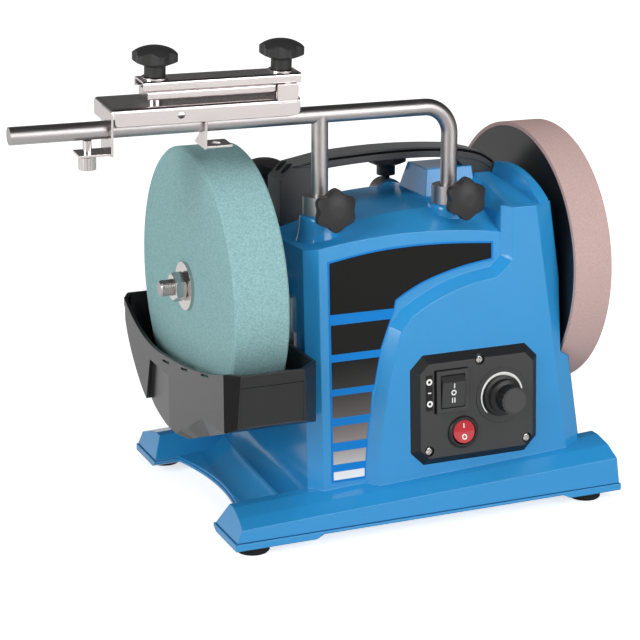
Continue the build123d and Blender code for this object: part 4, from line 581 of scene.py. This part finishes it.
def metal(name, colour, roughness, line_mm, edge_mm, stretch=(1.0, 1.0, 1.0), depth_mm=0.001):
    material = bpy.data.materials.new(name)
    material.use_nodes = True
    tree = material.node_tree
    shader = tree.nodes["Principled BSDF"]
    shader.inputs["Metallic"].default_value = 1.0
    place = add(tree, "TexCoord").outputs["Object"]
    turned = add(tree, "Mapping", {"Vector": place, "Scale": stretch})
    lines = add(tree, "TexNoise", {"Vector": turned.outputs[0], "Scale": 1 / (line_mm * MM), "Detail": 3.0})
    dull = add(tree, "MapRange", {"Value": lines.outputs["Fac"], "To Min": roughness * DULL_RANGE[0],
                                  "To Max": roughness * DULL_RANGE[1]})
    tone = add(tree, "MapRange", {"Value": lines.outputs["Fac"], "To Min": SHINE_RANGE[0],
                                  "To Max": SHINE_RANGE[1]})
    paint = add(tree, "HueSaturation", {"Value": tone.outputs[0], "Color": linear(colour)})
    edge = add(tree, "Bevel", {"Radius": edge_mm * MM}, samples=6)
    relief = add(tree, "Bump", {"Height": lines.outputs["Fac"], "Distance": depth_mm * MM, "Strength": 0.4,
                                "Normal": edge.outputs["Normal"]})
    tree.links.new(paint.outputs["Color"], shader.inputs["Base Color"])
    tree.links.new(dull.outputs[0], shader.inputs["Roughness"])
    tree.links.new(relief.outputs["Normal"], shader.inputs["Normal"])
    return material


nickel_steel = metal("drawn_nickel_steel", "#B8B3B3", roughness=0.36, line_mm=0.8, edge_mm=0.5,
                     stretch=(0.05, 1.0, 1.0))
dress(nickel_steel, "support_bar", "left_bar_sleeve", "right_bar_sleeve", "left_rear_sleeve", "right_rear_sleeve")


# Trough bracket: a plate of galvanised sheet steel, screwed to the left wall, that the trough's studs hang on.
# The zinc coat is pale and dull, with soft streaks up and down.
bracket_zinc = metal("galvanised_steel_sheet", "#EAE6E4", roughness=0.5, line_mm=2.0, edge_mm=0.4,
                     stretch=(1.0, 1.0, 0.1))
dress(bracket_zinc, "trough_bracket")


# Jig: pressed sheet steel, zinc plated and polished, clamped on the bar. Two jaws, a stop and washers sit on a folded
# base: a channel with bent edges, slots at its corners, a pin hole, a notch for the stop, and two lugs that the bar
# runs through. The sheet is bright and mirrors softly, with fine brush lines along the jig.
zinc_sheet = metal("pressed_zinc_sheet", "#E6DEDD", roughness=0.2, line_mm=0.9, edge_mm=0.5, stretch=(0.06, 1.0, 1.0))
dress(zinc_sheet, "jig_base", "jig_stop", "jig_lower_jaw", "jig_upper_jaw", "jig_washers")


def prism(outline, low, high, way):
    order = {"X": (2, 0, 1), "Y": (0, 2, 1), "Z": (0, 1, 2)}[way]
    count = len(outline)
    points = [[(*spot, depth)[k] for k in order] for depth in (low, high) for spot in outline]
    faces = [list(range(count)), [2 * count - 1 - i for i in range(count)]]
    faces += [(i, (i + 1) % count, count + (i + 1) % count, count + i) for i in range(count)]
    mesh = bpy.data.meshes.new("blank")
    mesh.from_pydata(points, [], faces)
    form = bmesh.new()
    form.from_mesh(mesh)
    bmesh.ops.recalc_face_normals(form, faces=form.faces)
    form.to_mesh(mesh)
    form.free()
    blank = bpy.data.objects.new("blank", mesh)
    scene.collection.objects.link(blank)
    return blank


def carve(blank, tool, operation):
    step = blank.modifiers.new("step", "BOOLEAN")
    step.operation, step.solver, step.object = operation, "EXACT", tool
    shape = bpy.data.meshes.new_from_object(blank.evaluated_get(bpy.context.evaluated_depsgraph_get()))
    blank.modifiers.clear()
    blank.data = shape
    bpy.data.objects.remove(tool)


def arc(u, v, radius, start, end, steps=8):
    turns = [math.radians(start + (end - start) * i / steps) for i in range(steps + 1)]
    return [(u + radius * math.cos(turn), v + radius * math.sin(turn)) for turn in turns]


def round_hole(u, v, radius, steps=32):
    turns = [2 * math.pi * i / steps for i in range(steps)]
    return [(u + radius * math.cos(turn), v + radius * math.sin(turn)) for turn in turns]


# Sizes in mm, as the jig lies level; it is tilted about the bar at the end. Each cutter overruns the sheet a little.
SHEET, BEND, BEND_IN, END_R = 1.5, 3.0, 1.5, 4.0
JIG_TILT, JIG_BAR, BAR_HOLE = math.radians(5.5), Vector((0.0, -50.0, 294.0)), 6.35
JIG_LEFT, JIG_RIGHT, JIG_FRONT, JIG_BACK, JIG_LOW, JIG_HIGH = -215.5, -82.0, -62.0, -22.0, 298.0, 310.0
base = prism([(JIG_FRONT, JIG_LOW), *arc(JIG_FRONT + BEND, JIG_HIGH - BEND, BEND, 180, 90),
              *arc(JIG_BACK - BEND, JIG_HIGH - BEND, BEND, 90, 0), (JIG_BACK, JIG_LOW)], JIG_LEFT, JIG_RIGHT, "X")
side_view = [(JIG_LEFT, JIG_LOW - 1), *arc(JIG_LEFT + BEND, JIG_HIGH - BEND, BEND, 180, 90), (JIG_RIGHT + 1, JIG_HIGH),
             (JIG_RIGHT + 1, JIG_LOW + END_R), *arc(JIG_RIGHT - END_R, JIG_LOW + END_R, END_R, 0, -90),
             (JIG_RIGHT - END_R, JIG_LOW - 1)]
carve(base, prism(side_view, JIG_FRONT - 1, JIG_BACK + 1, "Y"), "INTERSECT")
hollow = [(JIG_FRONT + SHEET, JIG_LOW - 2), *arc(JIG_FRONT + BEND, JIG_HIGH - BEND, BEND_IN, 180, 90),
          *arc(JIG_BACK - BEND, JIG_HIGH - BEND, BEND_IN, 90, 0), (JIG_BACK - SHEET, JIG_LOW - 2)]
carve(base, prism(hollow, JIG_LEFT + SHEET, JIG_RIGHT + 1, "X"), "DIFFERENCE")
SLOT_TOP, SLOT_NECK, SLOT_RIGHT, SLOT_R = JIG_HIGH - 1.6, JIG_LEFT + 2.6, JIG_LEFT + 5.6, 3.0
corner_slot = [(JIG_LEFT + SHEET, JIG_LOW - 1), (JIG_LEFT + SHEET, SLOT_TOP), (SLOT_NECK, SLOT_TOP),
               *arc(SLOT_RIGHT, JIG_LOW + SLOT_R, SLOT_R, 180, 270), (SLOT_RIGHT, JIG_LOW - 1)]
carve(base, prism(corner_slot, JIG_FRONT - 1, JIG_FRONT + SHEET + 0.6, "Y"), "DIFFERENCE")
PIN_X, PIN_Z, PIN_R = -167.0, 303.5, 2.5
carve(base, prism(round_hole(PIN_X, PIN_Z, PIN_R), JIG_FRONT - 1, JIG_FRONT + SHEET + 1, "Y"), "DIFFERENCE")
NOTCH_X, NOTCH_Z, NOTCH_WIDE, NOTCH_TALL, NOTCH_BACK = -90.6, 309.5, 15.6, 4.2, -58.3
carve(base, prism(dash(NOTCH_X, NOTCH_Z, NOTCH_WIDE, NOTCH_TALL), JIG_FRONT - 1, NOTCH_BACK, "Y"), "DIFFERENCE")
STUD_XS, STUD_Y, STUD_HOLE = (-181.0, -91.0), -47.0, 3.1
for stud_x in STUD_XS:
    carve(base, prism(round_hole(stud_x, STUD_Y, STUD_HOLE), JIG_HIGH - 3, JIG_HIGH + 1, "Z"), "DIFFERENCE")

# Each lug has its place along the bar, its outline as y, z, and its tab's left and right end and screw hole.
TAB_LOW, TAB_FRONT, TAB_BACK = 278.0, -58.0, -42.0
LUGS = [(JIG_LEFT, [(-61.8, TAB_LOW), (-61.8, JIG_HIGH - 2), (-38.0, JIG_HIGH - 2), (-38.0, TAB_LOW)],
         -236.0, JIG_LEFT + 0.5, -228.5),
        (-149.5, [(-60.0, TAB_LOW), (-60.0, JIG_HIGH - 1), (-47.0, JIG_HIGH - 1), (-47.0, 285.5), (-38.0, TAB_LOW)],
         -149.0, -129.0, -138.0)]
for lug_x, outline, tab_left, tab_right, hole_x in LUGS:
    tab = [(tab_left, TAB_FRONT), (tab_right, TAB_FRONT), (tab_right, TAB_BACK), (tab_left, TAB_BACK)]
    carve(base, prism(outline, lug_x, lug_x + SHEET, "X"), "UNION")
    carve(base, prism(tab, TAB_LOW, TAB_LOW + SHEET, "Z"), "UNION")
    carve(base, prism(round_hole(JIG_BAR.y, JIG_BAR.z, BAR_HOLE), lug_x - 1, lug_x + SHEET + 1, "X"), "DIFFERENCE")
    carve(base, prism(round_hole(hole_x, JIG_BAR.y, STUD_HOLE), TAB_LOW - 1, TAB_LOW + SHEET + 1, "Z"), "DIFFERENCE")
tilt = Matrix.Rotation(JIG_TILT, 3, "X")
points = [(JIG_BAR + tilt @ (vertex.co - JIG_BAR)) * MM for vertex in base.data.vertices]
faces = [list(face.vertices) for face in base.data.polygons]
bpy.data.objects.remove(base)
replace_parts(make_piece("folded_jig_base", points, faces, zinc_sheet, "jig"), "jig_base")


# Screws, nuts, washers, flanges and studs: steel, turned or rolled and then zinc plated.
# Small bright parts with a clean shine and hardly any grain.
zinc_screw = metal("turned_zinc_steel", "#CFCAC8", roughness=0.24, line_mm=0.7, edge_mm=0.3)
dress(zinc_screw, "foot_screws", "handle_screws", "jig_lock_screw", "trough_studs", "stone_washer", "stone_flange",
      "honing_nut", "honing_washer", "honing_flange", "stone_nut", "panel_screws", "rear_cover_screws",
      "trough_bracket_screws")


# Cross-head screws of the panel, the rear cover and the trough bracket: cold headed, with a driven cross recess,
# a soft dome and bright zinc plating. The recess, the dome and the shank keep one set of proportions to the head.
def cross_screws(name, places, along, across, head_r, head_t, shank_r, reach, body):
    rise = along.cross(across).normalized()
    half, arm, sunk, steps = head_r * 0.12, head_r * 0.6, head_t * 0.6, 24
    points, faces = [], []
    corner = [(arm, -half), (arm, half), (half, half)]
    cross = [(u * c - v * w, u * w + v * c) for c, w in ((1, 0), (0, 1), (-1, 0), (0, -1)) for u, v in corner]
    rings = [(head_r * 0.72, head_t), (head_r * 0.93, head_t * 0.8), (head_r, head_t * 0.45), (head_r, 0.0),
             (shank_r, 0.0), (shank_r, -reach)]
    turns = [math.pi * 2 * i / steps - math.atan2(half, arm) for i in range(steps)]
    sides = len(cross)
    for place in places:
        first = len(points)
        loops = [[(u, v, head_t) for u, v in cross], [(u, v, head_t - sunk) for u, v in cross]]
        loops += [[(r * math.cos(t), r * math.sin(t), h) for t in turns] for r, h in rings]
        for loop in loops:
            points += [(place + along * u + across * v + rise * h) * MM for u, v, h in loop]
        deep, rim = first + sides, first + 2 * sides
        faces.append([deep + i for i in range(sides)])
        for i in range(sides):
            here, there = first + i, first + (i + 1) % sides
            near, mid, far = rim + 2 * i, rim + 2 * i + 1, rim + (2 * i + 2) % steps
            faces += [(here, there, there + sides, here + sides), (here, near, mid), (here, mid, there),
                      (there, mid, far)]
        for k in range(len(rings) - 1):
            low, high = rim + steps * k, rim + steps * (k + 1)
            faces += [(low + i, low + (i + 1) % steps, high + (i + 1) % steps, high + i) for i in range(steps)]
        faces.append([rim + steps * (len(rings) - 1) + i for i in range(steps)])
    return make_piece(name, points, faces, zinc_screw, body)


SLOPE_UP, RIGHT = Vector((0.0, DRAFT, 1.0)).normalized(), Vector((1.0, 0.0, 0.0))
TO_FRONT, MIRRORED = Vector((0.0, -1.0, 0.0)), Vector((1.0, -1.0, 1.0))
PANEL_SCREWS, PANEL_SEAT = ((42.8, 116.6), (2.1, 53.4), (81.3, 53.3)), 9.8
COVER_XS, COVER_ZS, COVER_SEAT = (-60.0, 10.0, 80.0), (46.1, 169.9), 1.0
BRACKET_FACE, BRACKET_YS, BRACKET_Z = -86.3, (-47.0, 47.0), 135.5
panel_spots = [on_front(x, z, PANEL_SEAT) / MM for x, z in PANEL_SCREWS]
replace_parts(cross_screws("panel_cross_screws", panel_spots, RIGHT, SLOPE_UP, head_r=2.9, head_t=1.7, shank_r=1.5,
                         reach=9.0, body="housing"), "panel_screws")
cover_spots = [on_front(x, z, COVER_SEAT) / MM * MIRRORED for x in COVER_XS for z in COVER_ZS]
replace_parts(cross_screws("cover_cross_screws", cover_spots, -RIGHT, SLOPE_UP * MIRRORED, head_r=3.2, head_t=1.8,
                         shank_r=1.5, reach=9.0, body="housing"), "rear_cover_screws")
bracket_spots = [Vector((BRACKET_FACE, y, BRACKET_Z)) for y in BRACKET_YS]
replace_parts(cross_screws("bracket_cross_screws", bracket_spots, TO_FRONT, UP, head_r=4.2, head_t=2.2, shank_r=2.0,
                         reach=6.5, body="housing"), "trough_bracket_screws")


# Spindle: a turned steel shaft in two ball bearings that carries both wheels, with a rolled thread of 1.75 mm pitch
# at each end. Bare steel reads greyer than plating, with a soft turned shine.
PITCH, PITCH_STEPS, THREAD_DEEP, THREAD_R, END_CHAMFER, SPINDLE_Z = 1.75, 8, 0.45, 6.0, 1.3, 168.0
THREAD_LOW = THREAD_R - THREAD_DEEP
SPINDLE_LEFT, LEFT_ROWS, SPINDLE_STEPS = -165.5, 82, 32
SPINDLE_RIGHT, THREAD_RIGHT, RIGHT_ROWS = 166.0, 148.0, 83


def spindle_point(x, radius, turn):
    return Vector((x, radius * math.cos(turn), SPINDLE_Z + radius * math.sin(turn))) * MM


def thread_radius(x, turn):
    flank = (x / PITCH - turn / (2 * math.pi)) % 1.0
    ends = min(x - SPINDLE_LEFT, SPINDLE_RIGHT - x)
    return min(THREAD_R - THREAD_DEEP * abs(2 * flank - 1), THREAD_R - END_CHAMFER + ends)


spindle_turns = [2 * math.pi * i / SPINDLE_STEPS for i in range(SPINDLE_STEPS)]
left_thread = [(SPINDLE_LEFT + i * PITCH / PITCH_STEPS, None) for i in range(LEFT_ROWS)]
right_thread = [(THREAD_RIGHT + i * PITCH / PITCH_STEPS, None) for i in range(RIGHT_ROWS)]
plain = [(-147.4, THREAD_LOW), (-147.3, THREAD_R), (-100.0, THREAD_R), (-100.0, 7.5), (-79.0, 7.5), (-79.0, 8.0),
         (97.0, 8.0), (97.0, 7.5), (112.0, 7.5), (112.0, THREAD_R), (147.8, THREAD_R), (147.9, THREAD_LOW)]
rows = left_thread + plain + right_thread
points = [spindle_point(x, thread_radius(x, turn) if radius is None else radius, turn) for x, radius in rows
          for turn in spindle_turns]
faces = [list(range(SPINDLE_STEPS)), [len(points) - 1 - i for i in range(SPINDLE_STEPS)]]
for k in range(len(rows) - 1):
    low, high = k * SPINDLE_STEPS, (k + 1) * SPINDLE_STEPS
    faces += [(low + i, low + (i + 1) % SPINDLE_STEPS, high + (i + 1) % SPINDLE_STEPS, high + i)
              for i in range(SPINDLE_STEPS)]
shaft_steel = metal("turned_shaft_steel", "#A8A5A3", roughness=0.32, line_mm=0.7, edge_mm=0.1)
dress(shaft_steel, "main_shaft")
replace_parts(make_piece("threaded_spindle", points, faces, shaft_steel, "spindle"), "main_shaft")


# Stone nut: a hexagon nut of 19 mm across its flats that holds the stone on the spindle's left thread.
# It is cut from drawn bar and zinc plated, and both faces are turned, which rounds its corners.
NUT_FLATS, NUT_BORE, NUT_SPAN, FACE_INSET, CORNER_RISE = 19.0, 6.05, (-156.0, -147.5), 0.2, 0.7
NUT_STEPS, NUT_STEP, HEX_STEP, HEX_HALF = 24, 15, 60, 30
nut_turns = [math.radians(NUT_STEP * i + HEX_HALF) for i in range(NUT_STEPS)]
nut_corner = [NUT_FLATS / 2 / math.cos(math.radians((NUT_STEP * i) % HEX_STEP - HEX_HALF)) for i in range(NUT_STEPS)]
nut_face = NUT_FLATS / 2 - FACE_INSET
nut_loops = []
for x, inward in ((NUT_SPAN[0], 1), (NUT_SPAN[1], -1)):
    ends = [[spindle_point(x, radius, turn) for turn in nut_turns] for radius in (NUT_BORE, nut_face)]
    ends.append([spindle_point(x + inward * (radius - nut_face) * CORNER_RISE, radius, turn)
                 for radius, turn in zip(nut_corner, nut_turns)])
    nut_loops += ends if inward > 0 else ends[::-1]
points = [point for loop in nut_loops for point in loop]
faces = []
for k in range(len(nut_loops)):
    low, high = NUT_STEPS * k, NUT_STEPS * ((k + 1) % len(nut_loops))
    faces += [(low + i, low + (i + 1) % NUT_STEPS, high + (i + 1) % NUT_STEPS, high + i) for i in range(NUT_STEPS)]
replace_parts(make_piece("turned_stone_nut", points, faces, zinc_screw, "spindle"), "stone_nut")


# Grinding stone: white and green grit, fired in a clay bond and dressed true on its rim, clamped by flange and nut.
# It is matt, with an even speckle of pale and deeper green. The real grit is 0.2 mm; it is drawn at about 0.9 mm,
# because finer grains don't show in the picture.
GRIT_MM, GRIT_DEEP, GRIT_PALE = 0.9, "#84ADAF", "#9CC3C5"
fired_grit = moulding("fired_green_grit", "#92BBBD", roughness=0.85, grain_mm=GRIT_MM, depth_mm=0.1, edge_mm=0.8,
                      specular=0.2, mottle=0.04, ior=1.7)
grit_tree = fired_grit.node_tree
grit_cells = add(grit_tree, "TexVoronoi", {"Vector": add(grit_tree, "TexCoord").outputs["Object"],
                                           "Scale": 1 / (GRIT_MM * MM)})
grit_speckle = add(grit_tree, "SeparateColor", {0: grit_cells.outputs["Color"]})
grit_tones = add(grit_tree, "ValToRGB", {"Fac": grit_speckle.outputs[0]})
grit_tones.color_ramp.elements[0].color = linear(GRIT_DEEP)
grit_tones.color_ramp.elements[1].color = linear(GRIT_PALE)
grit_tree.links.new(grit_tones.outputs["Color"], grit_tree.nodes["Principled BSDF"].inputs["Base Color"])
dress(fired_grit, "grinding_stone")


# Honing wheel: a black ABS core with a sunk web, and a band of vegetable tanned leather glued round its rim.
# The core is smooth with a low gloss. The leather is matt and pinkish tan, with a soft mottle of pores; real pores
# are finer than 1.3 mm and are drawn coarser, so that they show.
core_abs = moulding("moulded_core_abs", "#111214", roughness=0.3, grain_mm=1.2, depth_mm=0.01, edge_mm=0.8,
                    specular=0.4)
dress(core_abs, "honing_wheel")
PORE_MM, HIDE_DEEP, HIDE_PALE, DEEP_TO, PALE_FROM = 1.3, "#BFA29E", "#CBAEAA", 0.3, 0.7
tanned_leather = moulding("tanned_leather", "#C5A8A4", roughness=0.75, grain_mm=1.4, depth_mm=0.1, edge_mm=0.6,
                          specular=0.25, mottle=0.1, ior=1.5)
hide_tree = tanned_leather.node_tree
hide_pores = add(hide_tree, "TexNoise", {"Vector": add(hide_tree, "TexCoord").outputs["Object"],
                                         "Scale": 1 / (PORE_MM * MM), "Detail": 2.0})
hide_tones = add(hide_tree, "ValToRGB", {"Fac": hide_pores.outputs["Fac"]})
for stop, position, colour in zip(hide_tones.color_ramp.elements, (DEEP_TO, PALE_FROM), (HIDE_DEEP, HIDE_PALE)):
    stop.position = position
    stop.color = linear(colour)
hide_tree.links.new(hide_tones.outputs["Color"], hide_tree.nodes["Principled BSDF"].inputs["Base Color"])
dress(tanned_leather, "leather_band")


# Drive inside the casing: a motor with its gearbox on a pressed bracket, a nylon gear on the spindle, ball bearings
# and the speed board. They show only through the rear cover's air slots, as dull plated steel, cream nylon and
# green resin.
motor_steel = metal("drawn_zinc_steel", "#8E8D8B", roughness=0.4, line_mm=1.2, edge_mm=0.4, depth_mm=0.004)
dress(motor_steel, "motor_can", "motor_gearbox", "motor_bracket", "motor_pinion", "left_bearing", "right_bearing",
      "bearing_inner_rings")
gear_nylon = moulding("moulded_gear_nylon", "#DDD6C4", roughness=0.5, grain_mm=0.8, depth_mm=0.02, edge_mm=0.4)
dress(gear_nylon, "drive_gear")
board_resin = moulding("laminated_green_resin", "#2B6B45", roughness=0.4, grain_mm=0.6, depth_mm=0.02, edge_mm=0.3,
                       ior=1.55)
dress(board_resin, "speed_board", "speed_potentiometer")
